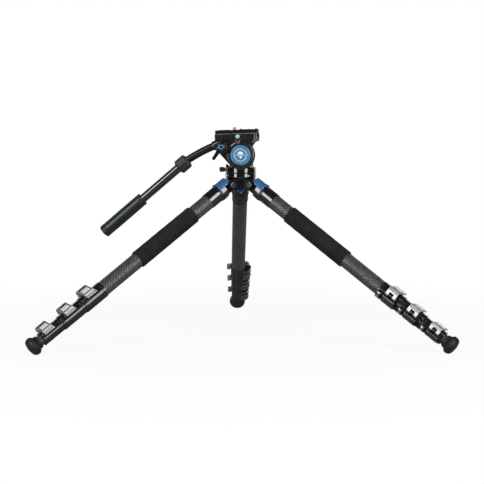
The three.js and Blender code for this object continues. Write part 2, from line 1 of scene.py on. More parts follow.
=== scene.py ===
"""Carbon tripod with a fluid head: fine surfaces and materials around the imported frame.

Pieces are built in millimetres in the frame of the part they belong to, then placed in metres.
A leg frame has its origin on the leg's hinge: Z runs down the leg, Y across it, -X is its upper
side. The head frame has X towards the lens and Z up. The tilt frame tips with the camera, and the
handle frame has Z down the handle.
"""
import json
from math import acos, asin, atan2, cos, hypot, pi, radians, sin, sqrt
from types import SimpleNamespace as Sizes

import bmesh
import bpy
from mathutils import Matrix, Vector


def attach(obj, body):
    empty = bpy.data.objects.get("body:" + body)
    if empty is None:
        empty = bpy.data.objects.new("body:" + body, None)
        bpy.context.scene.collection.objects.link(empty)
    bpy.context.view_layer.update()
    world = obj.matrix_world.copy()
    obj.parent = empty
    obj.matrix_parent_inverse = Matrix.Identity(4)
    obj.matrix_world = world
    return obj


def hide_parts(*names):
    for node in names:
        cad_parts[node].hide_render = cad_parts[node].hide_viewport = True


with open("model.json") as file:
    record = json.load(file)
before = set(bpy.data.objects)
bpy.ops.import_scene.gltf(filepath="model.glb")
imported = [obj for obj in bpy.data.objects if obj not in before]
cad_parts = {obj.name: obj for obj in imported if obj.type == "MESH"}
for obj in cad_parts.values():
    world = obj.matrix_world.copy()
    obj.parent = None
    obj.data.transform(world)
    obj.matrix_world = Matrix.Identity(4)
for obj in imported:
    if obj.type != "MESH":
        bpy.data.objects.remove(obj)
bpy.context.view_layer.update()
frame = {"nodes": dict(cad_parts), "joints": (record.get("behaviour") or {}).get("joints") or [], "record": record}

# ---------------------------------------------------------------- driving sizes, in millimetres

MM = 0.001
GAP = 0.3
PLAY = 0.4
SURFACE = "surface"                     # UV map in millimetres: round the piece, and along it
FINEST = 160                            # steps round the pan base
FINE = 96                               # round a large turned piece
SMALL = 32                              # and round a screw

# Legs. A foot's profile is (radius, distance down, corner radius).
CASTING = Sizes(radius=16.0, neck=11.5, start=12.0, shoulder=3.2, socket=33.5)
BULGE = Sizes(radius=17.5, start=14.5, end=32.0, ramp=3.0)
UNDERSIDE = 1.5                         # a casting is matt from this far below its axis
GROOVES = ((27.6, 29.2), (31.2, 33.0))
TRIM = (29.2, 31.2)                     # the ring left standing between them, blue on the back leg
TONGUE = Sizes(half=10.5, radius=11.0, end=16.0)
SADDLE_HALF = radians(100)
HINGE_BOLT = Sizes(head=6.2, inner=16.9, outer=18.6, shank=4.0, start=9.0, length=8.0)
TAB = Sizes(inner=15.2, outer=17.5, lip=18.8, first_rib=6.2, rib_step=1.7,
            half=radians(62), lip_half=radians(43), rib_half=radians(30))
LUG_SWEEP = 10.3
TUBE_1 = 14.75
TUBE_BORES = (13.3, 11.8, 10.3, 8.6)
FOAM_EDGE = 2.2
FOAM_SWELL = 0.12
LOCK_LUG = Sizes(reach=11.5, front=3.3, spans=((3.0, 13.0), (17.0, 44.0)), screws=(8.0, 22.5, 39.0))
CLAMP_SCREW = (2.3, 1.1)                # radius and height of its head
LEVER = Sizes(plate=3.0, wall=9.5, fork=4.8, boss=4.2, pin=1.6)
# Trim on a lever's plate: where it starts and ends along the plate, as shares of its length, how deep
# it is set, how proud it stands, its corner radius, its margin at both sides and its material.
LEVER_TRIM = [(0.06, 0.985, 0.8, 0.18, 0.2, 1.0, 4), (0.3, 0.62, 0.8, 0.7, 0.3, 3.2, 1)]
LEVER_TRIM += [(0.72 + 0.04 * k, 0.746 + 0.04 * k, 0.6, 0.55, 0.2, 1.2, 1) for k in range(6)]
LEVER_TRIM += [(0.115, 0.155, 0.4, 0.24, 0.0, 4.0, 3), (0.64, 0.675, 0.4, 0.24, 0.0, 4.0, 3)]
FOOT = ((12.3, 0.0, 0.8), (12.5, 1.8, 0.4), (12.0, 2.2, 0.4), (12.0, 2.8, 0.4), (12.6, 3.2, 0.4),
        (12.8, 5.0, 1.5), (17.6, 10.5, 2.2), (17.6, 12.2, 0.4), (17.1, 12.7, 0.3), (17.1, 13.3, 0.3),
        (17.6, 13.8, 0.4), (17.6, 15.5, 2.0), (15.2, 20.8, 2.5), (8.0, 23.2, 3.0), (0.0, 23.9, 0.0))

# Hub and pan base
HUB = Sizes(bottom=-10.0, top=12.0, core=24.0, rim=28.0, rim_height=5.0)
LUG = Sizes(inner=11.0, outer=16.5, radius=9.5, root=15.0)
STUD = Sizes(radius=8.2, thread=4.6, socket=4.2)
HINGE_RADIUS = 27.0
BASE_RADIUS = 30.0
PAN_SEAM = 22.5

# Tilting parts. The bezel's profile is (radius, height off the housing, corner radius).
DRUM = Sizes(radius=22.0, half=30.0)
CHEEK = Sizes(inner=30.5, outer=36.0)
HANDLE_CHEEK = Sizes(radius=28.2, shoulder=radians(33))
REAR_CHEEK = Sizes(radius=22.0, shoulder=radians(45))
BEZEL = ((21.0, -0.3, 0), (21.0, 1.2, 0.5), (24.2, 1.5, 0.6), (26.7, 0.55, 0.5), (26.9, -0.3, 0))
BEZEL_GAP = radians(14)                 # half the opening for the level's pointer, at the top
DECK = Sizes(rear=-48.8, front=32.5, top=42.5, bottom=26.2, nose=30.5)
DOVETAIL = Sizes(top=18.0, bottom=21.0, depth=7.4)
PLATE = Sizes(thick=6.4, rib_pitch=2.4, pad_end=25.0)
THREAD = Sizes(pitch=1.27, radius=3.0, tip=2.5, depth=0.34)
TILT_KNOB = Sizes(radius=14.0, cap=6.5)
PLATE_KNOB = Sizes(radius=9.0, cap=3.6)
# Print on the blue disc: the ring's two radii and where its ticks start, and the height of the ink.
PRINT = Sizes(ring=(11.0, 11.8, 12.6), ink=0.16, tick=1.4, long_tick=2.6)
# Lines below the level, from its middle: start, end, width, material.
POINTER = (((-3.6, -5.4), (-0.9, -12.6), 0.8, 2), ((4.6, -5.4), (2.0, -13.4), 0.8, 2),
           ((0.6, -9.0), (0.6, -14.0), 1.2, 3))

# Handle. The clamp lever is (distance from its hub, half width).
CLAMP = Sizes(x=-35.0, z=16.6, radius=12.0, lever_angle=radians(234))
CLAMP_LEVER = ((0.0, 6.5), (7.0, 5.2), (14.0, 3.6), (22.0, 3.0), (26.5, 3.1), (28.6, 2.2), (29.5, 0.0))
ARM_BEND = ((-33.0, 26.5), (-49.0, 19.8), (-69.0, 11.6), (-87.0, 2.6))
ARM_LEAD = 13.0
ARM_RADIUS = 7.25
ARM_SOCKET = Sizes(radius=8.9, end=8.3)
ARM_ROD = Sizes(radius=7.0, end=140.0)
HANDLE_TUBE = Sizes(outer=8.5, bore=7.6)

# ---------------------------------------------------------------- studio, in metres and degrees

FLOOR = Sizes(size=14.0, drop=-0.0004, paper=0.84, unseen=0.5, least_glow=0.92, fade=(0.42, 0.95))
SURROUND = 0.06                         # how bright the surround is to anything but the camera
# Azimuth, height, distance, width, length and watts of each soft box.
SOFT_BOXES = (("left_box", -41, 0.95, 2.3, 0.72, 3.0, 56), ("right_box", 40, 0.95, 2.3, 0.78, 3.0, 60),
              ("back_left", -140, 0.7, 2.4, 0.9, 1.6, 9), ("back_right", 140, 0.7, 2.4, 0.9, 1.6, 9))
CAMERA = Sizes(orbit=radians(1.038), distance=2.491, rise=0.0802, pitch=radians(4.441),
               sensor=36.0, lens=94.32, shift=0.0027)

# ---------------------------------------------------------------- frames

JOINTS = {joint["name"]: joint for joint in frame["joints"]}
BODY_OF = {node: body
           for body, nodes in frame["record"]["behaviour"]["bodies"].items()
           for node in nodes}
SIDES = ("back", "left", "right")
IDENTITY = Matrix.Identity(4)

# How an outline's x, its y and its depth lie in a frame.
HEAD_SIDE = Matrix(((1, 0, 0, 0), (0, 0, 1, 0), (0, 1, 0, 0), (0, 0, 0, 1)))
HEAD_CROSS = Matrix(((0, 0, 1, 0), (1, 0, 0, 0), (0, 1, 0, 0), (0, 0, 0, 1)))
LEG_CROSS = Matrix(((0, -1, 0, 0), (1, 0, 0, 0), (0, 0, 1, 0), (0, 0, 0, 1)))


def place(name):
    return Vector(JOINTS[name]["pos_m"])


def axis(name):
    return Vector(JOINTS[name]["axis"]).normalized()


def frame_matrix(origin, x, y, z):
    """A frame in metres for pieces modelled in millimetres."""
    turn = Matrix((x, y, z)).transposed().to_4x4()
    return Matrix.Translation(origin) @ turn @ Matrix.Scale(MM, 4)


def leg_frame(side):
    across = -axis(f"{side}_leg_spread")
    down = axis(f"{side}_section_2_slide")
    return frame_matrix(place(f"{side}_leg_spread"), across.cross(down), across, down)


def head_frame():
    origin = place("pan")
    origin.z = place("left_leg_spread").z
    ahead = -axis("pan_lock")
    return frame_matrix(origin, ahead, axis("tilt"), ahead.cross(axis("tilt")))


def tilt_frame():
    side = axis("tilt")
    up = axis("camera_screw_turn")
    return frame_matrix(place("tilt"), side.cross(up), side, up)


def handle_frame():
    side = axis("tilt")
    along = axis("handle_extension")
    return frame_matrix(place("handle_collar_twist"), side.cross(along), side, along)


def span(matrix, node):
    """Lowest and highest corner of a CAD node, in that frame's millimetres."""
    inverse = matrix.inverted()
    points = [inverse @ vertex.co for vertex in frame["nodes"][node].data.vertices]
    low = Vector(min(point[k] for point in points) for k in range(3))
    high = Vector(max(point[k] for point in points) for k in range(3))
    return low, high


def aim(origin, direction):
    """A place whose Z looks along direction."""
    turn = Vector(direction).to_track_quat("Z", "Y").to_matrix().to_4x4()
    return Matrix.Translation(origin) @ turn


# ---------------------------------------------------------------- outlines

def rounded(points, radius, steps=4, closed=True):
    """An outline with its corners eased. A point's third number is a radius of its own."""
    eased = []
    last = len(points) - 1
    for i, point in enumerate(points):
        here = Vector(point[:2])
        size = point[2] if len(point) > 2 else radius
        if size <= 0 or (not closed and i in (0, last)):
            eased.append(tuple(here))
            continue
        back = Vector(points[i - 1][:2]) - here
        ahead = Vector(points[(i + 1) % len(points)][:2]) - here
        reach = min(size, 0.45 * back.length, 0.45 * ahead.length)
        start = here + back.normalized() * reach
        end = here + ahead.normalized() * reach
        for k in range(steps + 1):
            t = k / steps
            eased.append(tuple(start * (1 - t) ** 2 + here * 2 * t * (1 - t) + end * t * t))
    return eased


def arc(x, y, radius, start, end, steps=24):
    return [(x + radius * cos(start + (end - start) * k / steps),
             y + radius * sin(start + (end - start) * k / steps)) for k in range(steps + 1)]


def fluted(radius, depth, flutes, sharpness=1.0, steps=10):
    """A knob's outline with scooped finger flutes."""
    outline = []
    for k in range(flutes * steps):
        angle = 2 * pi * k / (flutes * steps)
        scoop = (0.5 - 0.5 * cos(flutes * angle)) ** sharpness
        reach = radius - depth * scoop
        outline.append((reach * cos(angle), reach * sin(angle)))
    return outline


def rectangle(left, right, low, high):
    return [(left, low), (right, low), (right, high), (left, high)]


def grooved(radius, start, width, depth, wall, ease):
    """A groove in a turned profile, with sloping walls."""
    bottom = radius - depth
    return [(radius, start, ease), (bottom, start + wall, ease), (bottom, start + width - wall, ease),
            (radius, start + width, ease)]


def clamped(value):
    return max(0.0, min(1.0, value))


# ---------------------------------------------------------------- mesh building

def new_mesh():
    mesh = bmesh.new()
    mesh.loops.layers.uv.new(SURFACE)
    return mesh


def skin(mesh, rings, slot=0, round_ring=True, loop_rings=False, caps=True):
    """Joins rings of points, all of one length, into a surface with a UV map in millimetres."""
    uv = mesh.loops.layers.uv.active
    rows = [[mesh.verts.new(point) for point in ring] for ring in rings]
    count = len(rings[0])
    widest = max(rings, key=lambda ring: sum((ring[k] - ring[k - 1]).length for k in range(count)))
    across = [0.0]
    for k in range(count):
        across.append(across[-1] + (widest[(k + 1) % count] - widest[k]).length)
    along = [0.0]
    for k in range(len(rings)):
        following = rings[(k + 1) % len(rings)]
        along.append(along[-1] + max((following[i] - rings[k][i]).length for i in range(count)))
    for k in range(len(rows) if loop_rings else len(rows) - 1):
        low = rows[k]
        high = rows[(k + 1) % len(rows)]
        for i in range(count if round_ring else count - 1):
            j = (i + 1) % count
            face = mesh.faces.new((low[i], low[j], high[j], high[i]))
            face.material_index = slot
            corners = ((i, k), (i + 1, k), (i + 1, k + 1), (i, k + 1))
            for loop, (u, v) in zip(face.loops, corners):
                loop[uv].uv = (across[u], along[v])
    if caps and not loop_rings:
        for row in (rows[0], rows[-1]):
            cap = mesh.faces.new(row)
            cap.material_index = slot
            for loop in cap.loops:
                loop[uv].uv = (loop.vert.co.x, loop.vert.co.y)


def prism(mesh, outline, start, end, at=IDENTITY, slot=0):
    """Pushes an outline from one depth to another."""
    rings = [[at @ Vector((x, y, depth)) for x, y in outline] for depth in (start, end)]
    skin(mesh, rings, slot)


def domed(mesh, outline, start, end, ease, at=IDENTITY, slot=0):
    """A prism whose two ends are drawn in over a rounded edge."""
    width = max(abs(x) for x, y in outline)
    rings = []
    steps = 4
    for depth, way, order in ((start, 1, range(steps + 1)), (end, -1, range(steps, -1, -1))):
        for k in order:
            angle = pi / 2 * k / steps
            inset = 1 - ease * (1 - sin(angle)) / width
            rings.append((depth + way * ease * (1 - cos(angle)), inset))
    skin(mesh, [[at @ Vector((x * inset, y * inset, depth)) for x, y in outline]
                for depth, inset in rings], slot)


def turned(mesh, profile, at=IDENTITY, sides=FINE, closed=False, reach=None, slot=0):
    """Revolves (radius, z) points about Z. reach(radius, z, angle) may change each radius."""
    rings = []
    for radius, z in profile:
        ring = []
        for k in range(sides):
            angle = 2 * pi * k / sides
            r = reach(radius, z, angle) if reach else radius
            ring.append(at @ Vector((r * cos(angle), r * sin(angle), z)))
        rings.append(ring)
    skin(mesh, rings, slot, loop_rings=closed, caps=False)


def lathe(mesh, profile, ease, steps=3, at=IDENTITY, sides=FINE, closed=False, slot=0):
    """Turns a profile once its corners are eased."""
    turned(mesh, rounded(profile, ease, steps, closed), at, sides, closed, slot=slot)


def sector(mesh, section, middle, half, steps, at=IDENTITY, slot=0):
    """Part of a ring about Z. Its closed (radius, z) section may depend on the angle off the middle."""
    rings = []
    for k in range(steps + 1):
        offset = half * (2 * k / steps - 1)
        angle = middle + offset
        outline = section(offset) if callable(section) else section
        rings.append([at @ Vector((r * cos(angle), r * sin(angle), z)) for r, z in outline])
    skin(mesh, rings, slot)


def swept(mesh, path, radii, side, sides=SMALL, slot=0):
    """A round tube along a path of points in a plane whose normal is side."""
    rings = []
    for k, point in enumerate(path):
        ahead = path[min(k + 1, len(path) - 1)] - path[max(k - 1, 0)]
        up = side.cross(ahead).normalized()
        rings.append([point + radii[k] * (side * cos(a) + up * sin(a))
                      for a in (2 * pi * i / sides for i in range(sides))])
    skin(mesh, rings, slot)


def screw(mesh, at, radius, height, slot=0):
    """A screw head with a six-sided socket, standing on the plane of at."""
    sunk = -0.4
    head = [(0, sunk), (radius, sunk), (radius, 0.7 * height), (0.86 * radius, height),
            (0.56 * radius, height)]
    lathe(mesh, head, 0.25 * height, 2, at, SMALL, slot=slot)
    flat = 0.52 * radius
    socket = [(0.57 * radius, height), (flat, 0.9 * height), (flat, 0.25 * height), (0, 0.2 * height)]
    turned(mesh, socket, at, 6, slot=slot)


def catmull(points, steps):
    """A smooth line through points."""
    ends = [points[0] * 2 - points[1], *points, points[-1] * 2 - points[-2]]
    line = []
    for k in range(len(points) - 1):
        a, b, c, d = ends[k:k + 4]
        for i in range(steps):
            t = i / steps
            line.append(0.5 * (2 * b + (c - a) * t + (2 * a - 5 * b + 4 * c - d) * t * t
                               + (3 * b - a - 3 * c + d) * t ** 3))
    line.append(points[-1])
    return line


def put(name, data):
    """Adds an object to the scene."""
    thing = bpy.data.objects.new(name, data)
    bpy.context.scene.collection.objects.link(thing)
    return thing


def piece(node, mesh, matrix, surfaces, edge=0.0, sharp=35, floor=False):
    """Turns a mesh into the object that stands for a CAD node."""
    bmesh.ops.remove_doubles(mesh, verts=mesh.verts, dist=1e-4)
    bmesh.ops.dissolve_degenerate(mesh, dist=1e-5, edges=mesh.edges)
    bmesh.ops.recalc_face_normals(mesh, faces=mesh.faces)
    for face in mesh.faces:
        face.smooth = True
    mesh.transform(matrix)
    if floor:
        for vertex in mesh.verts:
            vertex.co.z = max(vertex.co.z, 0.0)
    data = bpy.data.meshes.new(f"{node}_detail")
    mesh.to_mesh(data)
    mesh.free()
    data.set_sharp_from_angle(angle=radians(sharp))
    for surface in surfaces:
        data.materials.append(surface)
    thing = put(f"{node}_detail", data)
    if edge:
        bevel = thing.modifiers.new("eased edges", "BEVEL")
        bevel.width = edge * MM
        bevel.segments = 3
        bevel.limit_method = "ANGLE"
        bevel.angle_limit = radians(sharp)
    weighted = thing.modifiers.new("flat faces lead", "WEIGHTED_NORMAL")
    weighted.keep_sharp = True
    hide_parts(node)
    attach(thing, BODY_OF[node])
    return thing


# ---------------------------------------------------------------- materials

class Nodes:
    """The node tree of a material or a world, and short ways to add to it."""

    def __init__(self, owner, empty=False):
        owner.use_nodes = True
        self.tree = owner.node_tree
        if empty:
            self.tree.nodes.clear()

    def set(self, node, socket, value):
        node.inputs[socket].default_value = value

    def link(self, source, node, socket):
        self.tree.links.new(source, node.inputs[socket])

    def add(self, kind, **settings):
        node = self.tree.nodes.new(kind)
        for name, value in settings.items():
            setattr(node, name, value)
        return node

    def where(self):
        return self.add("ShaderNodeTexCoord").outputs["Object"]

    def span(self, source, low, high, start=0.0, end=1.0):
        """Source from start to end, mapped to low to high."""
        node = self.add("ShaderNodeMapRange")
        self.link(source, node, "Value")
        self.set(node, "From Min", start)
        self.set(node, "From Max", end)
        self.set(node, "To Min", low)
        self.set(node, "To Max", high)
        return node.outputs["Result"]

    def mixed(self, share, first, second):
        node = self.add("ShaderNodeMixShader")
        self.link(share, node, 0)
        self.link(first.outputs[0], node, 1)
        self.link(second.outputs[0], node, 2)
        return node

    def split(self, unseen, seen):
        """What the camera sees directly, and what every other ray meets."""
        return self.mixed(self.add("ShaderNodeLightPath").outputs["Is Camera Ray"], unseen, seen)

    def end(self, kind, shader):
        self.link(shader.outputs[0], self.add(kind), "Surface")


class Surface(Nodes):
    """A material with one Principled shader, and short ways to texture it."""

    def __init__(self, name, colour, roughness, metallic=0.0, **constants):
        self.material = bpy.data.materials.new(name)
        super().__init__(self.material)
        self.shader = self.tree.nodes["Principled BSDF"]
        self.set(self.shader, "Base Color", (*colour, 1.0))
        self.set(self.shader, "Roughness", roughness)
        self.set(self.shader, "Metallic", metallic)
        for socket, value in constants.items():
            self.set(self.shader, socket.replace("_", " "), value)

    def along(self):
        return self.add("ShaderNodeUVMap", uv_map=SURFACE).outputs["UV"]

    def stretched(self, source, size, turn=0.0):
        """The source turned to lie along an angle, then divided by a size in each direction."""
        mapping = self.add("ShaderNodeMapping", vector_type="TEXTURE")
        self.link(source, mapping, "Vector")
        self.set(mapping, "Scale", (*size, 1.0))
        self.set(mapping, "Rotation", (0.0, 0.0, turn))
        return mapping.outputs["Vector"]

    def noise(self, source, scale, detail=3.0, roughness=0.5):
        noise = self.add("ShaderNodeTexNoise")
        self.link(source, noise, "Vector")
        self.set(noise, "Scale", scale)
        self.set(noise, "Detail", detail)
        self.set(noise, "Roughness", roughness)
        return noise.outputs["Fac"]

    def cells(self, source, scale, feature="F1"):
        cells = self.add("ShaderNodeTexVoronoi", feature=feature)
        self.link(source, cells, "Vector")
        self.set(cells, "Scale", scale)
        return cells.outputs["Distance"]

    def maths(self, operation, first, second=None, third=None):
        node = self.add("ShaderNodeMath", operation=operation)
        for index, value in enumerate((first, second, third)):
            if value is None:
                continue
            if isinstance(value, (int, float)):
                node.inputs[index].default_value = value
            else:
                self.tree.links.new(value, node.inputs[index])
        return node.outputs["Value"]

    def coloured(self, source, *stops):
        node = self.add("ShaderNodeValToRGB")
        elements = node.color_ramp.elements
        for index, (position, colour) in enumerate(stops):
            element = elements[index] if index < 2 else elements.new(position)
            element.position = position
            element.color = (*colour, 1.0)
        self.link(source, node, "Fac")
        self.link(node.outputs["Color"], self.shader, "Base Color")

    def rough(self, source, low, high, start=0.0, end=1.0):
        self.link(self.span(source, low, high, start, end), self.shader, "Roughness")

    def bumped(self, source, depth, strength=1.0):
        """Adds relief of that depth, in millimetres, on top of any relief so far."""
        bump = self.add("ShaderNodeBump")
        self.link(source, bump, "Height")
        self.set(bump, "Distance", depth * MM)
        self.set(bump, "Strength", strength)
        normal = self.shader.inputs["Normal"]
        if normal.is_linked:
            self.link(normal.links[0].from_socket, bump, "Normal")
        self.link(bump.outputs["Normal"], self.shader, "Normal")


def grey(value):
    return (value, value, value)


def painted(name, shade, roughness, grain, relief, specular=0.5, coat=0.0):
    """Painted or anodised metal: fine grain, faint handling marks and lighter worn edges."""
    surface = Surface(name, shade, roughness, Specular_IOR_Level=specular, Coat_Weight=coat,
                      Coat_Roughness=0.1)
    where = surface.where()
    marks = surface.noise(where, 34.0, 5.0, 0.62)
    surface.rough(marks, roughness * 0.8, roughness * 1.35, 0.3, 0.7)
    wear = surface.add("ShaderNodeNewGeometry").outputs["Pointiness"]
    worn = tuple(min(1.0, channel * 3.2 + 0.012) for channel in shade)
    surface.coloured(wear, (0.52, shade), (0.62, worn))
    surface.bumped(surface.noise(where, grain, 2.0), relief)
    return surface.material


def brushed(name, shade, roughness, metallic, size, relief, spread=0.12):
    """Metal with fine scratches, of that size in millimetres, along one way of its surface map."""
    surface = Surface(name, shade, roughness, metallic)
    scratches = surface.noise(surface.stretched(surface.along(), size), 1.0, 4.0, 0.6)
    surface.rough(scratches, roughness * 0.7, roughness * 1.4, 0.3, 0.7)
    darker = tuple(channel * (1 - spread) for channel in shade)
    lighter = tuple(min(1.0, channel * (1 + spread)) for channel in shade)
    surface.coloured(scratches, (0.35, darker), (0.65, lighter))
    surface.bumped(scratches, relief)
    return surface.material


def woven_carbon(tow):
    """Two-by-two twill carbon cloth under satin resin. Its diagonal ribs run at 45 degrees; the weave is the
    cloth's own, and its over tows and the crown of each tow are painted lighter as a painted sheen.
    """
    surface = Surface("carbon_weave", grey(0.02), 0.42, Specular_IOR_Level=0.6, Coat_Weight=0.12,
                      Coat_Roughness=0.3)
    maths = surface.maths
    along = surface.along()
    split = surface.add("ShaderNodeSeparateXYZ")
    surface.link(along, split, "Vector")
    around = maths("DIVIDE", split.outputs["X"], tow)
    down = maths("DIVIDE", split.outputs["Y"], tow)
    steps = maths("ADD", maths("FLOOR", around), maths("FLOOR", down))
    phase = maths("PINGPONG", maths("ADD", steps, 0.5), 2.0)
    over = maths("GREATER_THAN", phase, 1.0)
    under = maths("SUBTRACT", 1.0, over)
    crowns = []
    for distance, on_top in ((around, over), (down, under)):
        arch = maths("SINE", maths("MULTIPLY", maths("FRACT", distance), pi))
        crowns.append(maths("MULTIPLY", arch, on_top))
    crown = maths("ADD", *crowns)
    drift = surface.noise(surface.stretched(along, (3.0, 11.0), radians(45)), 1.0, 2.0)
    # Painted sheen: tows lying over are lighter, with a random drift, and each tow's crown is lighter still, where
    # light would catch it.
    painted_rib_sheen = maths("MULTIPLY", over, surface.span(drift, 0.25, 0.8, 0.35, 0.65))
    light = maths("ADD", painted_rib_sheen, maths("MULTIPLY", crown, 0.18))
    surface.coloured(light, (0.1, grey(0.012)), (0.45, grey(0.028)), (0.95, grey(0.1)))
    surface.rough(light, 0.58, 0.38, 0.1, 0.9)
    surface.bumped(crown, 0.035)
    fibres = surface.noise(surface.stretched(along, (0.12, 0.8)), 1.0, 2.0)
    surface.bumped(fibres, 0.004)
    return surface.material


def cell_foam():
    """Closed-cell foam: small pits and a soft mottled skin."""
    surface = Surface("cell_foam", grey(0.011), 0.93, Specular_IOR_Level=0.25)
    where = surface.where()
    surface.coloured(surface.noise(where, 60.0, 4.0), (0.35, grey(0.0085)), (0.68, grey(0.0145)))
    surface.bumped(surface.cells(where, 1100.0), 0.16)
    surface.bumped(surface.noise(where, 260.0, 3.0), 0.12)
    return surface.material


def soft_rubber(name, shade, roughness, grain, relief):
    surface = Surface(name, shade, roughness, Specular_IOR_Level=0.42)
    where = surface.where()
    dust = surface.noise(where, 45.0, 5.0, 0.65)
    lighter = tuple(channel * 1.45 + 0.002 for channel in shade)
    surface.coloured(dust, (0.4, shade), (0.75, lighter))
    surface.rough(dust, roughness * 0.92, min(1.0, roughness * 1.15), 0.3, 0.7)
    surface.bumped(surface.cells(where, grain, "SMOOTH_F1"), relief)
    return surface.material


def plain_enamel(name, shade, roughness, **constants):
    """Printed or filled marks, with a slight orange-peel."""
    surface = Surface(name, shade, roughness, **constants)
    where = surface.where()
    surface.rough(surface.noise(where, 300.0), roughness * 0.8, roughness * 1.25)
    surface.bumped(surface.noise(where, 900.0), 0.01)
    return surface.material


def glass_vial():
    surface = Surface("level_vial", (0.35, 0.6, 0.59), 0.06, Coat_Weight=1.0, Coat_Roughness=0.03)
    depth = surface.noise(surface.where(), 420.0, 2.0)
    surface.coloured(depth, (0.3, (0.24, 0.5, 0.49)), (0.7, (0.5, 0.68, 0.67)))
    return surface.material


# Painted: shade, roughness, grain per metre, relief in millimetres, specular, coat.
GLOSS_BLACK = painted("gloss_black", (0.0035, 0.0035, 0.004), 0.12, 1400.0, 0.0015, 0.5, 0.9)
MATT_BLACK = painted("matt_black", (0.011, 0.0112, 0.0115), 0.5, 2400.0, 0.02, 0.4)
HUB_BLACK = painted("hub_black", (0.0015, 0.0015, 0.002), 0.4, 2400.0, 0.008, 0.07)
HOUSING_BLACK = painted("housing_black", (0.0042, 0.0048, 0.0048), 0.26, 2600.0, 0.008, 0.5, 0.3)
TUBE_BLACK = painted("tube_black", (0.004, 0.004, 0.0045), 0.12, 1200.0, 0.002, 0.5, 0.9)
LOCK_BLACK = painted("lock_black", (0.004, 0.004, 0.0045), 0.2, 1800.0, 0.002, 0.5, 0.5)
ARM_BLACK = painted("arm_black", (0.0042, 0.0045, 0.0045), 0.3, 2200.0, 0.006, 0.3)
# Brushed: shade, roughness, metallic, size of a scratch in millimetres, relief, spread of the shade.
BLUE = brushed("blue_anodised", (0.085, 0.25, 0.52), 0.27, 0.6, (12.0, 0.35), 0.0015, 0.05)
NAVY = brushed("navy_trim", (0.015, 0.05, 0.17), 0.2, 0.7, (12.0, 0.35), 0.001, 0.08)
DISC_BLUE = brushed("disc_blue", (0.07, 0.22, 0.4), 0.34, 0.45, (30.0, 0.4), 0.002, 0.07)
SILVER = brushed("lever_silver", (0.58, 0.59, 0.61), 0.38, 0.9, (0.4, 9.0), 0.0015, 0.06)
PALE = brushed("lever_pad", (0.74, 0.76, 0.79), 0.45, 0.3, (0.5, 6.0), 0.002, 0.04)
LEVER_GREY = brushed("lever_grey", (0.12, 0.13, 0.15), 0.36, 0.8, (0.4, 9.0), 0.0015, 0.06)
STEEL = brushed("screw_steel", (0.58, 0.58, 0.6), 0.26, 1.0, (5.0, 0.5), 0.001)
DARK_STEEL = brushed("dark_steel", (0.1, 0.1, 0.105), 0.22, 0.9, (5.0, 0.5), 0.001)
# Painted highlight: a pale grey for the deck's chamfers and front lines, standing in for the light those edges
# catch.
PAINTED_EDGE_HIGHLIGHT = brushed("painted_edge_highlight", grey(0.34), 0.4, 0.5, (20.0, 0.3), 0.001)
# Rubber: shade, roughness, grain per metre, relief in millimetres.
KNOB_BLACK = soft_rubber("knob_black", (0.009, 0.0105, 0.0105), 0.48, 1500.0, 0.03)
FOOT_RUBBER = soft_rubber("foot_rubber", (0.0045, 0.0045, 0.005), 0.55, 900.0, 0.03)
GRIP_RUBBER = soft_rubber("grip_rubber", (0.0065, 0.0105, 0.0105), 0.33, 1300.0, 0.008)
# Print: shade, roughness.
WHITE = plain_enamel("white_print", (0.72, 0.78, 0.82), 0.4)
GREY_PRINT = plain_enamel("grey_print", (0.2, 0.22, 0.2), 0.5)
RED = plain_enamel("red_print", (0.5, 0.03, 0.02), 0.4)
CARBON = woven_carbon(tow=1.62)
FOAM = cell_foam()
VIAL = glass_vial()

# ---------------------------------------------------------------- legs

def matt_below(mesh, slot, start=0.0):
    """Gives the underside of a leg's casting or collar its matt finish, from a distance down."""
    for face in mesh.faces:
        middle = face.calc_center_median()
        if middle.x > UNDERSIDE and middle.z > start:
            face.material_index = slot


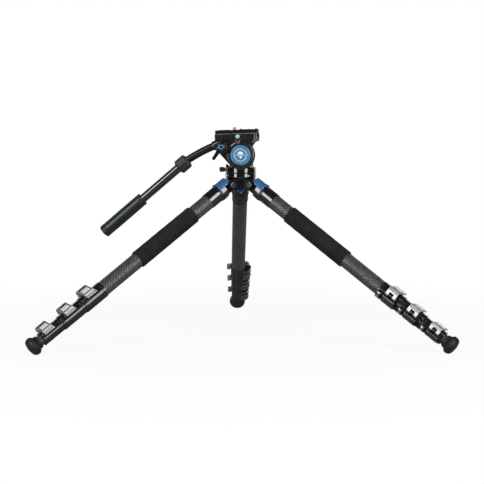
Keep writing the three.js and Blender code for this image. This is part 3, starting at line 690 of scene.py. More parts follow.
def casting(side, leg):
    mesh = new_mesh()
    end = span(leg, f"{side}_leg_casting")[1].z
    radius = CASTING.radius
    start = CASTING.start
    socket = CASTING.socket
    tongue = arc(0, 0, TONGUE.radius, 0, -pi, 32)
    tongue += [(-TONGUE.radius, TONGUE.end), (TONGUE.radius, TONGUE.end)]
    prism(mesh, tongue, -TONGUE.half, TONGUE.half, HEAD_SIDE)

    profile = [(0, start), (CASTING.neck, start, 0), (radius, start + CASTING.shoulder)]
    for first, last in GROOVES:
        profile += grooved(radius, first, last - first, 1.6, 0.7, 0.7)
    profile += [(radius, socket), (0, socket)]

    def reach(r, z, angle):
        upward = -cos(angle)
        if upward > cos(TAB.half + radians(2)):
            return min(r, TAB.inner - GAP)
        low = clamped((0.15 - upward) / 0.3)
        swell = clamped(min(z - BULGE.start, BULGE.end - z) / BULGE.ramp)
        return r + (BULGE.radius - radius) * low * swell * (1 if r > 5 else 0)

    turned(mesh, rounded(profile, 0.7, 3, closed=False), sides=128, reach=reach)
    matt_below(mesh, 2, start)
    for face in mesh.faces:
        middle = face.calc_center_median()
        if TRIM[0] < middle.z < TRIM[1] and middle.to_2d().length > radius - 1:
            face.material_index = 3

    inner = TUBE_1 + GAP
    saddle = rounded(rectangle(inner, radius, socket - 1, end), 0.35, 2)
    sector(mesh, saddle, pi, SADDLE_HALF, 64)
    under = rounded(rectangle(inner, radius - 0.4, socket - 1, end - 2), 0.35, 2)
    sector(mesh, under, 0.0, pi - SADDLE_HALF - 0.02, 56, slot=2)

    for way in (-1, 1):
        head = aim((0, way * HINGE_BOLT.inner, 0), (0, way, 0))
        screw(mesh, head, HINGE_BOLT.head, HINGE_BOLT.outer - HINGE_BOLT.inner, 1)
        shank = aim((0, way * HINGE_BOLT.start, 0), (0, way, 0))
        turned(mesh, rectangle(0, HINGE_BOLT.shank, 0, HINGE_BOLT.length), shank, SMALL, slot=1)
    trim = BLUE if side == "back" else GLOSS_BLACK
    surfaces = [GLOSS_BLACK, DARK_STEEL, MATT_BLACK, trim]
    piece(f"{side}_leg_casting", mesh, leg, surfaces, 0.5)


def angle_lock(side, leg):
    mesh = new_mesh()
    node = f"{side}_angle_lock"
    low, high = span(leg, node)
    inner = TAB.inner
    outer = TAB.outer

    def plate(offset):
        height = inner * cos(offset)
        start = low.z
        if height < LUG_SWEEP:
            start = max(start, sqrt(LUG_SWEEP ** 2 - height ** 2))
        return rounded(rectangle(inner, outer, start, high.z), 0.6, 3)

    sector(mesh, plate, pi, TAB.half, 56)
    lip = [(inner + 0.5, high.z - 3.4), (TAB.lip, high.z - 2.4), (TAB.lip, high.z - 0.1),
           (inner + 0.5, high.z - 0.1)]
    sector(mesh, rounded(lip, 0.7, 3), pi, TAB.lip_half, 40)
    for k in range(3):
        z = high.z - TAB.first_rib - TAB.rib_step * k
        rib = [(outer - 0.4, z), (outer + 0.35, z + 0.2), (outer + 0.35, z + 0.6), (outer - 0.4, z + 0.8)]
        sector(mesh, rounded(rib, 0.25, 2), pi, TAB.rib_half, 30)
    piece(node, mesh, leg, [BLUE], sharp=50)


def tube(node, matrix, bore, surface):
    low, high = span(matrix, node)
    mesh = new_mesh()
    lathe(mesh, rectangle(bore, high.y, low.z, high.z), 0.25, 2, closed=True)
    piece(node, mesh, matrix, [surface])


def foam_grip(side, leg):
    node = f"{side}_foam_grip"
    low, high = span(leg, node)
    mesh = new_mesh()
    inner = TUBE_1 + GAP
    outer = high.y
    rows = 24
    outline = [(inner, low.z), (outer, low.z, FOAM_EDGE)]
    for k in range(1, rows):
        outline.append((outer + FOAM_SWELL * sin(k * 1.7), low.z + (high.z - low.z) * k / rows))
    outline += [(outer, high.z, FOAM_EDGE), (inner, high.z)]
    lathe(mesh, outline, 0.3, 4, sides=128, closed=True)
    thing = piece(node, mesh, leg, [FOAM])


def lock_collar(side, index, leg):
    node = f"{side}_lock_collar_{index}"
    low, high = span(leg, node)
    r = high.y
    upper = span(leg, f"{side}_tube_{index}")[1]
    lower = span(leg, f"{side}_tube_{index + 1}")[1]
    mesh = new_mesh()
    step = upper.z + GAP
    shell = [(upper.y + GAP, low.z), (r, low.z, 0.9)]
    for z in (low.z + 4.2, high.z - 4.4):
        shell += grooved(r, z, 1.2, 0.5, 0.3, 0.2)
    shell += [(r, high.z, 0.9), (lower.y + GAP, high.z), (lower.y + GAP, step), (upper.y + GAP, step)]
    lathe(mesh, shell, 0.2, sides=112, closed=True)
    matt_below(mesh, 3)

    # The lugs reach out past the tube, with a slanted face that the lower screws stand on.
    far = -(r + LOCK_LUG.reach)
    slant_start = Vector((far, -4))
    slant_end = Vector((-(r + 7), -(r - 5)))
    lug = [(-(r - 4), LOCK_LUG.front, 0), (far, LOCK_LUG.front), tuple(slant_start), tuple(slant_end),
           (-(r + 1), -(r - 2.5)), (-(r - 6), -(r - 2), 0)]
    outline = rounded(lug, 2.6, 5)
    for start, finish in LOCK_LUG.spans:
        prism(mesh, outline, low.z + start, low.z + finish, LEG_CROSS)
    pivot = leg.inverted() @ place(f"{side}_lock_{index}_flip")
    half = LEVER.fork - 0.4
    reach = LEVER.boss - GAP
    ear = arc(pivot.y, -pivot.x, reach, pi / 2, 3 * pi / 2, 16)
    ear += [(-(r - 3), -pivot.x - reach), (-(r - 3), -pivot.x + reach)]
    prism(mesh, ear, pivot.z - half, pivot.z + half, LEG_CROSS)

    slant = (slant_end - slant_start).normalized()
    middle = (slant_start + slant_end) / 2
    for k, offset in enumerate(LOCK_LUG.screws):
        along = low.z + offset
        slot = 1 if k == 0 else 2
        screw(mesh, aim((0.4, far, along), (0, -1, 0)), *CLAMP_SCREW, slot)
        screw(mesh, aim((-middle.y, middle.x, along), (slant.x, slant.y, 0)), *CLAMP_SCREW, slot)
    piece(node, mesh, leg, [LOCK_BLACK, STEEL, DARK_STEEL, MATT_BLACK], 0.9)


def lock_lever(side, index, leg):
    node = f"{side}_lock_lever_{index}"
    low, high = span(leg, node)
    r = span(leg, f"{side}_lock_collar_{index}")[1].y
    pivot = leg.inverted() @ place(f"{side}_lock_{index}_flip")
    up = -pivot.x
    mesh = new_mesh()
    corner = Vector((-(r + 3.5), r + 7))
    tip = Vector((r + 8, r - 0.6))
    along = (tip - corner).normalized()
    out = Vector((-along.y, along.x))
    inward = -out * LEVER.plate
    outer = -(r + LEVER.wall)
    inner = outer + LEVER.plate
    plate = [(outer, r + 1, 1.5), (*corner, 3.5), (*tip, 0.8), (tip.x + 1.2, tip.y - 1.8, 0.8),
             (*(tip + inward), 0.8), (*(corner + inward), 2.0), (inner, r, 1.5),
             (inner, up + 6.2, 0.2), (outer, up + 6.2, 0.2)]
    prism(mesh, rounded(plate, 0.5, 4), low.z, high.z, LEG_CROSS)
    tine = [(outer, up + 7.5)]
    tine += arc(pivot.y, up, LEVER.boss, pi, 2 * pi, 20)
    tine += [(inner + 0.6, up + 7.5)]
    for start, finish in ((low.z, pivot.z - LEVER.fork), (pivot.z + LEVER.fork, high.z)):
        prism(mesh, tine, start, finish, LEG_CROSS)
    pin = rectangle(0, LEVER.pin + 0.5, low.z - 0.35, high.z + 0.35)
    lathe(mesh, pin, 0.3, 2, Matrix.Translation((pivot.x, pivot.y, 0)), SMALL, slot=2)

    length = (tip - corner).length
    for start, finish, depth, proud, ease, margin, slot in LEVER_TRIM:
        first = corner + along * start * length - out * depth
        last = corner + along * finish * length - out * depth
        lift = out * (depth + proud)
        trim = [tuple(first), tuple(first + lift), tuple(last + lift), tuple(last)]
        prism(mesh, rounded(trim, ease, 2), low.z + margin, high.z - margin, LEG_CROSS, slot)
    piece(node, mesh, leg, [SILVER, PALE, STEEL, GLOSS_BLACK, LEVER_GREY], 0.45)


def foot(side, leg):
    node = f"{side}_foot"
    start = span(leg, node)[0].z
    bore = span(leg, f"{side}_tube_4")[1]
    profile = [(0, bore.z + GAP), (bore.y + GAP, bore.z + GAP), (bore.y + GAP, start)]
    profile += [(radius, start + height, ease) for radius, height, ease in FOOT]
    mesh = new_mesh()
    lathe(mesh, profile, 0.4, 4)
    piece(node, mesh, leg, [FOOT_RUBBER], floor=True)


def build_leg(side):
    leg = leg_frame(side)
    casting(side, leg)
    angle_lock(side, leg)
    for index, bore in enumerate(TUBE_BORES, 1):
        tube(f"{side}_tube_{index}", leg, bore, CARBON)
    if f"{side}_foam_grip" in BODY_OF:
        foam_grip(side, leg)
    for index in range(1, 4):
        lock_collar(side, index, leg)
        lock_lever(side, index, leg)
    foot(side, leg)


# ---------------------------------------------------------------- hub

def azimuth(side):
    outward = -axis(f"{side}_leg_spread").cross(Vector((0, 0, 1)))
    return atan2(outward.y, outward.x)


def hub_outline(radius):
    """The hub from above: a disc with a slot for each leg's tongue."""
    floor = HINGE_RADIUS - TONGUE.radius - 0.5
    half = LUG.inner
    mouth = asin(half / radius)
    slots = sorted(azimuth(side) for side in SIDES)
    points = []
    for index, angle in enumerate(slots):
        following = slots[(index + 1) % len(slots)]
        if following < angle:
            following += 2 * pi
        turn = Matrix.Rotation(angle, 2)
        points += [tuple(turn @ Vector((floor, -half))), tuple(turn @ Vector((floor, half)))]
        points += arc(0, 0, radius, angle + mouth, following - mouth, 20)
    return points


def hub(level):
    mesh = new_mesh()
    prism(mesh, hub_outline(HUB.core), HUB.bottom, HUB.top)
    prism(mesh, hub_outline(HUB.rim), HUB.top - HUB.rim_height, HUB.top + 0.1)
    cheek = [(LUG.root, LUG.radius)]
    cheek += arc(HINGE_RADIUS, 0, LUG.radius, pi / 2, -pi / 2, 24)
    cheek += [(LUG.root, -LUG.radius)]
    for side in SIDES:
        turn = Matrix.Rotation(azimuth(side), 4, "Z")
        for start, finish in ((-LUG.outer, -LUG.inner), (LUG.inner, LUG.outer)):
            prism(mesh, cheek, start, finish, turn @ HEAD_SIDE)
    piece("hub_spider", mesh, level, [HUB_BLACK], 0.6)


def mounting_stud(level):
    low, high = span(level, "mounting_stud")
    mesh = new_mesh()
    domed(mesh, fluted(STUD.radius, 0.9, 12), low.z, HUB.bottom - GAP, 1.0)
    turned(mesh, rectangle(0, STUD.thread, HUB.bottom - 1, high.z), sides=SMALL)
    ring = [(8.8, -10.3), (14.0, -10.3, 0.4), (14.0, -12.2, 0.5), (13.0, -13.3, 0.5), (8.8, -13.3)]
    lathe(mesh, ring, 0.3, closed=True, slot=1)
    screw(mesh, aim((0, 0, low.z), (0, 0, -1)), STUD.socket, 0.6)
    piece("mounting_stud", mesh, level, [DARK_STEEL, NAVY], 0.2)


# ---------------------------------------------------------------- head, below the tilt axis

def pan_base(head):
    low = span(head, "pan_base")[0]
    r = BASE_RADIUS
    mesh = new_mesh()
    profile = [(0, low.z), (28, low.z, 0.5), (r, low.z + 2.0, 0.8), (r, PAN_SEAM - 0.8, 0.6),
               (r - 0.8, PAN_SEAM, 0.3), (12, PAN_SEAM), (12, 30), (0, 30)]
    lathe(mesh, profile, 0.4, 4, sides=FINEST)
    for k in range(4):
        angle = radians(-142 + 90 * k)
        out = Vector((cos(angle), sin(angle), 0))
        screw(mesh, aim(out * (r - 0.45) + Vector((0, 0, low.z + 4.8)), out), 2.1, 0.7, 1)
    piece("pan_base", mesh, head, [GLOSS_BLACK, STEEL], sharp=45)


def pan_body(head):
    r = BASE_RADIUS
    bottom = PAN_SEAM + GAP
    tilt = head.inverted() @ place("tilt")
    mesh = new_mesh()
    profile = [(0, bottom), (r - 0.8, bottom, 0.3), (r, bottom + 0.8, 0.5), (r, 32.4, 0.6),
               (28.8, 33.6, 0.5), (26.6, 33.8, 0.8), (25.5, 36.7, 0.8), (0, 36.7)]
    lathe(mesh, profile, 0.4, 4, sides=FINEST)
    half = DRUM.half
    drum = [(0, -half), (DRUM.radius, -half, 1.2), (DRUM.radius, half, 1.2), (0, half)]
    lathe(mesh, drum, 0, 4, Matrix.Translation((tilt.x, 0, tilt.z)) @ HEAD_SIDE, 112)
    prism(mesh, rounded(rectangle(-20, 23, -24, 24), 5, 6), 34, tilt.z)
    index_tab = rounded(rectangle(-28.2, -23.4, -13, -6), 0.8, 3)
    prism(mesh, index_tab, 33, 39.6)
    piece("pan_body", mesh, head, [GLOSS_BLACK], 0.4, sharp=45)


def knob(node, matrix, outline, radius, depths, at, surfaces, cap):
    """A fluted knob between two depths along its axis, with a capped centre screw."""
    face, outer = depths
    mesh = new_mesh()
    domed(mesh, outline, face + 1.6, outer, 1.4, at)
    collar = 0.82 * radius
    lathe(mesh, [(0, face), (collar, face, 0.5), (collar, face + 3, 0), (0, face + 3)], 0, 3, at, 64)
    socket = 0.42 * cap
    rim = [(0, outer - 1), (cap, outer - 1), (cap, outer + 0.3, 0.4), (0.72 * cap, outer + 0.3, 0.2),
           (0.66 * cap, outer, 0.2), (1.12 * socket, outer, 0.1)]
    lathe(mesh, rim, 0, 3, at, 48, slot=1)
    recess = [(1.14 * socket, outer), (socket, outer - 0.1), (socket, outer - 0.9), (0, outer - 0.9)]
    turned(mesh, recess, at, 6, slot=1)
    piece(node, mesh, matrix, surfaces, sharp=50)


def side_knobs(head, tilt):
    low, high = span(head, "pan_lock_knob")
    radius = high.y
    height = (head.inverted() @ place("pan_lock")).z
    at = aim((0, 0, height), (-1, 0, 0))
    depths = (BASE_RADIUS + 0.6, -low.x)
    knob("pan_lock_knob", head, fluted(radius, 0.5, 12), radius, depths, at, [TUBE_BLACK, GLOSS_BLACK],
         0.55 * radius)

    centre = tilt.inverted() @ place("tilt_lock")
    low, high = span(tilt, "tilt_lock_knob")
    at = aim((centre.x, 0, centre.z), (0, 1, 0))
    radius = TILT_KNOB.radius
    knob("tilt_lock_knob", tilt, fluted(radius, 1.5, 10, 1.3), radius, (low.y, high.y), at,
         [KNOB_BLACK, DISC_BLUE], TILT_KNOB.cap)

    centre = tilt.inverted() @ place("plate_lock")
    high = span(tilt, "plate_lock_knob")[1]
    at = aim((centre.x, 0, centre.z), (0, 1, 0))
    radius = PLATE_KNOB.radius
    knob("plate_lock_knob", tilt, fluted(radius, 1.0, 10, 1.3), radius, (CHEEK.outer + 0.5, high.y), at,
         [KNOB_BLACK, DARK_STEEL], PLATE_KNOB.cap)


def side_disc(tilt):
    """The blue disc, printed with a plain scale and a level symbol."""
    low, high = span(tilt, "side_disc")
    radius = high.x
    thick = high.y - low.y
    at = aim((0, high.y, 0), (0, -1, 0))
    mesh = new_mesh()
    profile = [(0, 0), (radius, 0), (radius, 0.65 * thick, 0.5), (radius - 1.1, thick, 0.4),
               (radius - 1.6, thick, 0.2), (radius - 1.9, thick - 0.25, 0.2), (radius - 2.2, thick, 0.2),
               (0, thick + 0.1)]
    lathe(mesh, profile, 0.3, 3, at)
    proud = thick + 0.02
    inner, outer, first_tick = PRINT.ring
    ring = [(inner, proud), (inner, proud + PRINT.ink), (outer, proud + PRINT.ink), (outer, proud)]
    turned(mesh, ring, at, closed=True, slot=1)

    def printed(outline, where=at):
        prism(mesh, outline, proud, proud + PRINT.ink, where, 1)

    ticks = 24
    for k in range(ticks):
        length = PRINT.long_tick if k % 6 == 0 else PRINT.tick
        tick = rectangle(first_tick, first_tick + length, -0.22, 0.22)
        printed(tick, at @ Matrix.Rotation(2 * pi * k / ticks, 4, "Z"))
    printed(rectangle(-8.2, 8.2, -0.5, 0.5))
    printed(arc(0, 1.8, 5.4, 0, pi, 32))
    printed([(-3.4, -2.2), (3.4, -2.2), (0, -7.0)])
    piece("side_disc", mesh, tilt, [DISC_BLUE, WHITE], sharp=40)


# ---------------------------------------------------------------- tilting parts

def cheek_outline(cheek):
    """One side of the housing: the round cheek, the lobe for the handle and the deck."""
    radius = cheek.radius
    shoulder = cheek.shoulder
    to_clamp = atan2(CLAMP.z, CLAMP.x)
    distance = hypot(CLAMP.x, CLAMP.z)
    tangent = to_clamp + acos((radius - CLAMP.radius) / distance)
    deck = [(DECK.rear, DECK.bottom), (DECK.rear, DECK.top), (DECK.front, DECK.top),
            (DECK.front, DECK.nose), (radius * cos(shoulder), radius * sin(shoulder))]
    shape = rounded(deck, 1.5, 4, closed=False)
    shape += arc(0, 0, radius, shoulder, tangent - 2 * pi, 72)[1:]
    shape += arc(CLAMP.x, CLAMP.z, CLAMP.radius, tangent, pi, 20)
    return shape


def thin_line(mesh, start, end, width, slot):
    """A printed line on the housing's handle side."""
    a = Vector(start)
    b = Vector(end)
    side = (b - a).normalized() * width / 2
    side = Vector((-side.y, side.x))
    outline = [tuple(a + side), tuple(b + side), tuple(b - side), tuple(a - side)]
    prism(mesh, outline, -CHEEK.outer - 0.08, -CHEEK.outer + 0.2, HEAD_SIDE, slot)


def painted_deck_highlights(mesh):
    """Painted highlights on the deck's edges: a pale grey chamfer along each side, and two pale grey lines down
    each side of its front.
    """
    outer = CHEEK.outer
    top = DECK.top
    bend = DECK.nose + 0.5
    for way in (-1, 1):
        chamfer = [(way * (outer + off), top + up)
                   for off, up in ((0, -1.3), (0.1, -0.9), (-0.4, 0.1), (-1.4, 0.1), (-1.4, -1.3))]
        prism(mesh, chamfer, DECK.rear + 1.0, DECK.front - 1.0, HEAD_CROSS, 4)
        for inset in (1.5, 5.2):
            front = DECK.front - inset
            line = rectangle(front, front + 1.1, bend, top - 2)
            if way < 0:
                line = [(front - 4.2, bend - 8.0), (front - 3.1, bend - 8.0), *line[1:], line[0]]
            prism(mesh, line, way * (outer - 0.4), way * (outer + 0.12), HEAD_SIDE, 4)


def tilt_housing(tilt):
    mesh = new_mesh()
    outer = CHEEK.outer
    top = DECK.top
    prism(mesh, cheek_outline(HANDLE_CHEEK), -outer, -CHEEK.inner, HEAD_SIDE)
    prism(mesh, cheek_outline(REAR_CHEEK), CHEEK.inner, outer, HEAD_SIDE)
    floor = top - DOVETAIL.depth - PLAY
    half = outer - 0.5
    rim = top - 0.3
    lip = DOVETAIL.top + PLAY
    root = DOVETAIL.bottom + PLAY
    deck = [(-half, DECK.bottom), (-half, rim), (-lip, rim), (-root, floor), (root, floor), (lip, rim),
            (half, rim), (half, DECK.bottom)]
    prism(mesh, deck, DECK.rear + 0.5, DECK.front - 0.5, HEAD_CROSS)
    # Pale grey strips on the deck's edges paint the highlights that the edges catch.
    painted_deck_highlights(mesh)

    face = aim((0, 0, 0), (0, -1, 0))
    bezel = [(radius, outer + proud, ease) for radius, proud, ease in BEZEL]
    sector(mesh, rounded(bezel, 0, 4), -pi / 2, pi - BEZEL_GAP, 120, face)
    seat = [(3.95, outer - 0.2), (3.95, outer + 0.35, 0.2), (5.2, outer + 0.35, 0.2), (5.3, outer - 0.2)]
    bubble = span(tilt, "bubble_level")
    middle = (bubble[0] + bubble[1]) / 2
    lathe(mesh, seat, 0, 3, Matrix.Translation((middle.x, 0, middle.z)) @ face, 48, closed=True, slot=1)
    for start, end, width, slot in POINTER:
        thin_line(mesh, (middle.x + start[0], middle.z + start[1]), (middle.x + end[0], middle.z + end[1]),
                  width, slot)

    for x in (DECK.rear + 6, DECK.front - 6):
        for way in (-1, 1):
            screw(mesh, aim((x, way * outer, top - 5), (0, way, 0)), 1.7, 0.35, 1)
    for y in (-33.2, 33.2):
        for end, way in ((DECK.front, 1), (DECK.rear, -1)):
            screw(mesh, aim((end, y, top - 7), (way, 0, 0)), 1.9, 0.4, 1)
    lobe = [(0, outer - 1), (11.2, outer - 1), (11.2, outer + 0.25, 0.3), (0, outer + 0.25)]
    lathe(mesh, lobe, 0, 3, Matrix.Translation((CLAMP.x, 0, CLAMP.z)) @ aim((0, 0, 0), (0, 1, 0)), 64)
    # The last surface is the pale grey of the painted highlights on the deck's edges.
    surfaces = [HOUSING_BLACK, GLOSS_BLACK, GREY_PRINT, RED, PAINTED_EDGE_HIGHLIGHT]
    piece("tilt_housing", mesh, tilt, surfaces, 0.9)


def bubble_level(tilt):
    low, high = span(tilt, "bubble_level")
    middle = (low + high) / 2
    at = aim((middle.x, high.y, middle.z), (0, -1, 0))
    thick = high.y - low.y
    mesh = new_mesh()
    dome = [(0, 0), (3.9, 0), (3.9, thick - 0.2, 0.4), (3.0, thick + 0.25, 1.2), (0, thick + 0.4)]
    lathe(mesh, dome, 0.2, 4, at, 48)
    ring = [(1.75, thick + 0.2), (1.75, thick + 0.5), (2.05, thick + 0.5), (2.05, thick + 0.2)]
    turned(mesh, ring, at, 48, closed=True, slot=1)
    piece("bubble_level", mesh, tilt, [VIAL, DARK_STEEL], sharp=50)


def camera_plate(tilt):
    low, high = span(tilt, "camera_plate")
    seat = DECK.top + GAP
    top = seat + PLATE.thick
    half = high.y
    mesh = new_mesh()
    flange = [(-half, seat, 0.5), (-half, top - 1.2, 0.4), (-half + 1.2, top, 0.4), (half - 1.2, top, 0.4),
              (half, top - 1.2, 0.4), (half, seat, 0.5)]
    prism(mesh, rounded(flange, 0, 3), low.x, high.x, HEAD_CROSS)
    foot_z = DECK.top - DOVETAIL.depth
    dovetail = [(-DOVETAIL.top, seat + 0.5), (-DOVETAIL.bottom, foot_z), (DOVETAIL.bottom, foot_z),
                (DOVETAIL.top, seat + 0.5)]
    prism(mesh, dovetail, low.x + 2, high.x - 2, HEAD_CROSS)
    screw_x = (tilt.inverted() @ place("camera_screw_turn")).x
    pitch = PLATE.rib_pitch
    for start, finish in ((low.x + 4, screw_x - 8), (screw_x + 8, PLATE.pad_end)):
        pad = rounded(rectangle(start, finish, -half + 4, half - 4), 2.0, 4)
        prism(mesh, pad, top - 0.6, top + 0.35, slot=1)
        for k in range(int((finish - start - 4) / pitch)):
            x = start + 2.6 + k * pitch
            rib = rounded(rectangle(x, x + 1.1, -half + 6, half - 6), 0.4, 2)
            prism(mesh, rib, top, top + 0.75, slot=1)
    pin = [(0, top - 1), (2.0, top - 1), (2.0, top + 2.2, 0.5), (0, top + 2.2)]
    lathe(mesh, pin, 0, 3, sides=SMALL, slot=2)
    prism(mesh, rounded(rectangle(27.5, 32, -6, 6), 0.8, 3), top - 1, top + 1.6)
    washer = [(3.6, top - 0.5), (3.6, top + 0.3), (6.4, top + 0.3), (6.4, top - 0.5)]
    lathe(mesh, washer, 0.2, 2, Matrix.Translation((screw_x, 0, 0)), 64, closed=True, slot=2)
    piece("camera_plate", mesh, tilt, [GLOSS_BLACK, KNOB_BLACK, DARK_STEEL], 0.4)


def camera_screw(tilt):
    """A quarter-inch screw with its real thread."""
    low, high = span(tilt, "camera_screw")
    centre = Matrix.Translation((tilt.inverted() @ place("camera_screw_turn")).xy.to_3d())
    mesh = new_mesh()
    head = [(0, low.z), (7, low.z, 0.5), (7, low.z + 5, 0.5), (0, low.z + 5)]
    lathe(mesh, head, 0, 3, centre, 64)
    pitch = THREAD.pitch
    steps = 8
    start = low.z + 4.5
    rows = []
    for k in range(int((high.z - start) / pitch * steps) + 1):
        z = start + k * pitch / steps
        rows.append((THREAD.radius if z < high.z - 0.8 else THREAD.tip, z))

    def thread(radius, z, angle):
        if radius <= 1:
            return radius
        turn = (z / pitch - angle / (2 * pi)) % 1.0
        return radius + THREAD.depth * (0.5 - abs(2 * turn - 1))

    turned(mesh, [(0.01, start), *rows, (0.01, high.z)], centre, 48, reach=thread)
    piece("camera_screw", mesh, tilt, [STEEL], sharp=60)


# ---------------------------------------------------------------- handle

def clamp_lever(tilt):
    outer = -span(tilt, "handle_clamp_lever")[0].y
    face = outer - 5.8
    lobe = Vector((CLAMP.x, 0, CLAMP.z))
    at = aim(lobe, (0, -1, 0))
    mesh = new_mesh()
    base = [(0, face), (8.5, face, 0.5), (8.5, outer - 1.5, 0.5), (7.2, outer, 0.8), (0, outer)]
    lathe(mesh, base, 0, 4, at, 64)
    cap = [(0, outer - 0.5), (5.0, outer - 0.5), (5.0, outer + 0.7, 0.5), (2.6, outer + 0.9, 0.2)]
    lathe(mesh, cap, 0, 3, at, 48, slot=1)
    recess = [(2.65, outer + 0.9), (2.5, outer + 0.7), (2.5, outer - 0.3), (0, outer - 0.3)]
    turned(mesh, recess, at, 6, slot=2)
    turned(mesh, rectangle(0, 4, CHEEK.inner + GAP, face + 1), at, SMALL)
    edge = [Vector(point) for point in CLAMP_LEVER]
    outline = [(p.x, p.y) for p in edge] + [(p.x, -p.y) for p in reversed(edge[:-1])]
    turn = Matrix.Translation(lobe) @ Matrix.Rotation(-CLAMP.lever_angle, 4, "Y") @ HEAD_SIDE
    prism(mesh, rounded(outline, 1.5, 3), -outer + 0.8, -face, turn)
    piece("handle_clamp_lever", mesh, tilt, [GLOSS_BLACK, DISC_BLUE, DARK_STEEL], 0.7)


def handle_arm(tilt, handle):
    low, high = span(tilt, "handle_arm")
    depth = (low.y + high.y) / 2
    start = tilt.inverted() @ handle.to_translation()
    along = (tilt.inverted().to_3x3() @ axis("handle_extension")).normalized()
    mesh = new_mesh()
    radius = CLAMP.radius
    eye = [(0, -high.y), (radius, -high.y, 0.8), (radius, -low.y - 1.2, 0.6), (radius - 1.4, -low.y, 0.6),
           (9.6, -low.y, 0.2), (9.6, -low.y - 0.6, 0.2), (0, -low.y - 0.6)]
    lathe(mesh, eye, 0, 4, aim((CLAMP.x, 0, CLAMP.z), (0, -1, 0)))
    stations = [Vector((x, depth, z)) for x, z in ARM_BEND]
    stations += [start - along * ARM_LEAD, start + along * 2]
    path = catmull(stations, 12)
    side = Vector((0, 1, 0))
    swept(mesh, path, [ARM_RADIUS] * len(path), side, 48, slot=1)
    socket = path[4:15]
    ends = ARM_SOCKET.end
    radii = [ends, *[ARM_SOCKET.radius] * (len(socket) - 2), ends]
    swept(mesh, socket, radii, side, 48)
    rod = [(0, 0), (ARM_ROD.radius, 0), (ARM_ROD.radius, ARM_ROD.end, 0.8), (0, ARM_ROD.end)]
    lathe(mesh, rod, 0, 3, tilt.inverted() @ handle, 48, slot=1)
    piece("handle_arm", mesh, tilt, [HOUSING_BLACK, ARM_BLACK], sharp=40)


def handle_collar(handle):
    low, high = span(handle, "handle_collar")
    mesh = new_mesh()
    domed(mesh, fluted(14.5, 1.1, 8, 0.8, 16), low.z, high.z, 4.0)
    for z in (low.z + 0.2, high.z - 0.2):
        ring = [(8.9, z - 0.5), (11.0, z - 0.5, 0.4), (11.0, z + 0.5, 0.4), (8.9, z + 0.5)]
        lathe(mesh, ring, 0, 3, closed=True, slot=1)
    piece("handle_collar", mesh, handle, [KNOB_BLACK, GLOSS_BLACK], sharp=55)


def handle_grip(handle):
    low, high = span(handle, "handle_grip")
    r = high.y
    mesh = new_mesh()
    bore = HANDLE_TUBE.outer + GAP
    depth = span(handle, "handle_tube")[1].z + GAP
    profile = [(0, depth), (bore, depth), (bore, low.z), (r - 0.4, low.z, 0.8), (r + 0.2, low.z + 1.2, 0.5),
               (r + 0.2, low.z + 3.4, 0.4), (r - 0.5, low.z + 4.0, 0.3), (r - 0.5, low.z + 4.8, 0.3)]
    rows = 11
    for k in range(rows + 1):
        z = low.z + 5.6 + (high.z - low.z - 19) * k / rows
        profile.append((r - 0.1 + 0.25 * sin(pi * k / rows), z, 1.0))
    for k in range(3):
        profile += grooved(r, high.z - 11.5 + 2.6 * k, 1.3, 0.5, 0.4, 0.2)
    profile += [(r, high.z - 2.6, 1.4), (r - 3.2, high.z - 0.3, 2.2), (0, high.z)]
    lathe(mesh, profile, 0.3, 4)
    piece("handle_grip", mesh, handle, [GRIP_RUBBER], sharp=50)


# ---------------------------------------------------------------- studio

def pale_floor():
    """A pale floor that fades into the white surround, and that lights the object only dimly."""
    half = FLOOR.size / 2
    data = bpy.data.meshes.new("floor")
    corners = [(x, y, 0) for x, y in rectangle(-half, half, -half, half)]
    data.from_pydata(corners, [], [(0, 1, 2, 3)])
    floor = put("floor", data)
    floor.location.z = FLOOR.drop
    material = bpy.data.materials.new("pale_floor")
    data.materials.append(material)
    nodes = Nodes(material, empty=True)
    paper = nodes.add("ShaderNodeBsdfDiffuse")
    nodes.set(paper, "Color", (*grey(FLOOR.paper), 1))
    glow = nodes.add("ShaderNodeEmission")
    nodes.set(glow, "Color", (*grey(1.0), 1))
    unseen = nodes.add("ShaderNodeBsdfDiffuse")
    nodes.set(unseen, "Color", (*grey(FLOOR.unseen), 1))
    distance = nodes.add("ShaderNodeVectorMath", operation="LENGTH")
    nodes.link(nodes.where(), distance, 0)
    fade = nodes.span(distance.outputs["Value"], FLOOR.least_glow, 1.0, *FLOOR.fade)
    nodes.end("ShaderNodeOutputMaterial", nodes.split(unseen, nodes.mixed(fade, paper, glow)))


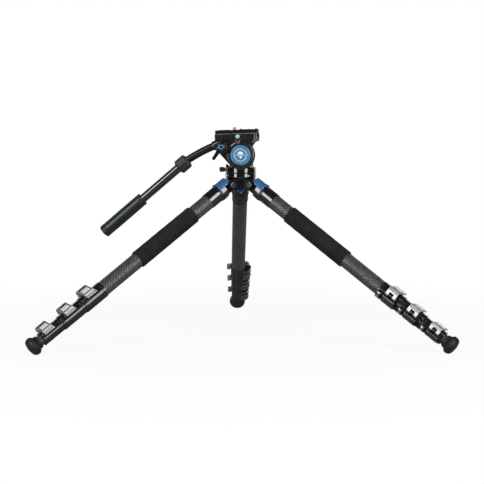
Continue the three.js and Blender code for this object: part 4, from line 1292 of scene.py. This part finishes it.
def surround():
    """A world that the camera sees as white, and that is nearly dark to every other ray."""
    world = bpy.data.worlds.new("studio")
    bpy.context.scene.world = world
    nodes = Nodes(world, empty=True)
    seen = nodes.add("ShaderNodeBackground")
    around = nodes.add("ShaderNodeBackground")
    for background in (seen, around):
        nodes.set(background, "Color", (*grey(1.0), 1))
    nodes.set(around, "Strength", SURROUND)
    nodes.end("ShaderNodeOutputWorld", nodes.split(around, seen))


def softbox(name, azimuth, height, distance, width, tall, power, target):
    """An upright rectangular light facing the target; azimuth 0 is the camera's side."""
    data = bpy.data.lights.new(name, "AREA")
    data.shape = "RECTANGLE"
    data.size = width
    data.size_y = tall
    data.energy = power
    light = put(name, data)
    angle = radians(azimuth)
    light.location = target + Vector((distance * sin(angle), -distance * cos(angle), height))
    light.rotation_euler = (pi / 2, 0, angle)


def camera(hub_axis):
    orbit = CAMERA.orbit
    distance = CAMERA.distance
    data = bpy.data.cameras.new("camera")
    data.sensor_width = CAMERA.sensor
    data.lens = CAMERA.lens
    data.shift_x = CAMERA.shift
    view = put("camera", data)
    view.location = hub_axis + Vector((-distance * sin(orbit), -distance * cos(orbit), CAMERA.rise))
    view.rotation_euler = (pi / 2 - CAMERA.pitch, 0, -orbit)
    bpy.context.scene.camera = view


# ---------------------------------------------------------------- build

def build():
    head = head_frame()
    tilt = tilt_frame()
    handle = handle_frame()
    centre = head.to_translation()
    level = frame_matrix(centre, Vector((1, 0, 0)), Vector((0, 1, 0)), Vector((0, 0, 1)))
    camera(centre)
    for side in SIDES:
        build_leg(side)
    hub(level)
    mounting_stud(level)
    pan_base(head)
    pan_body(head)
    side_knobs(head, tilt)
    side_disc(tilt)
    tilt_housing(tilt)
    bubble_level(tilt)
    camera_plate(tilt)
    camera_screw(tilt)
    clamp_lever(tilt)
    handle_arm(tilt, handle)
    tube("handle_tube", handle, HANDLE_TUBE.bore, TUBE_BLACK)
    handle_collar(handle)
    handle_grip(handle)
    axle = frame["nodes"]["tilt_axle"]
    axle.data.materials.clear()
    axle.data.materials.append(DARK_STEEL)
    pale_floor()
    surround()
    for name, *box in SOFT_BOXES:
        softbox(name, *box, centre)
    bpy.context.scene.view_settings.view_transform = "Standard"


build()
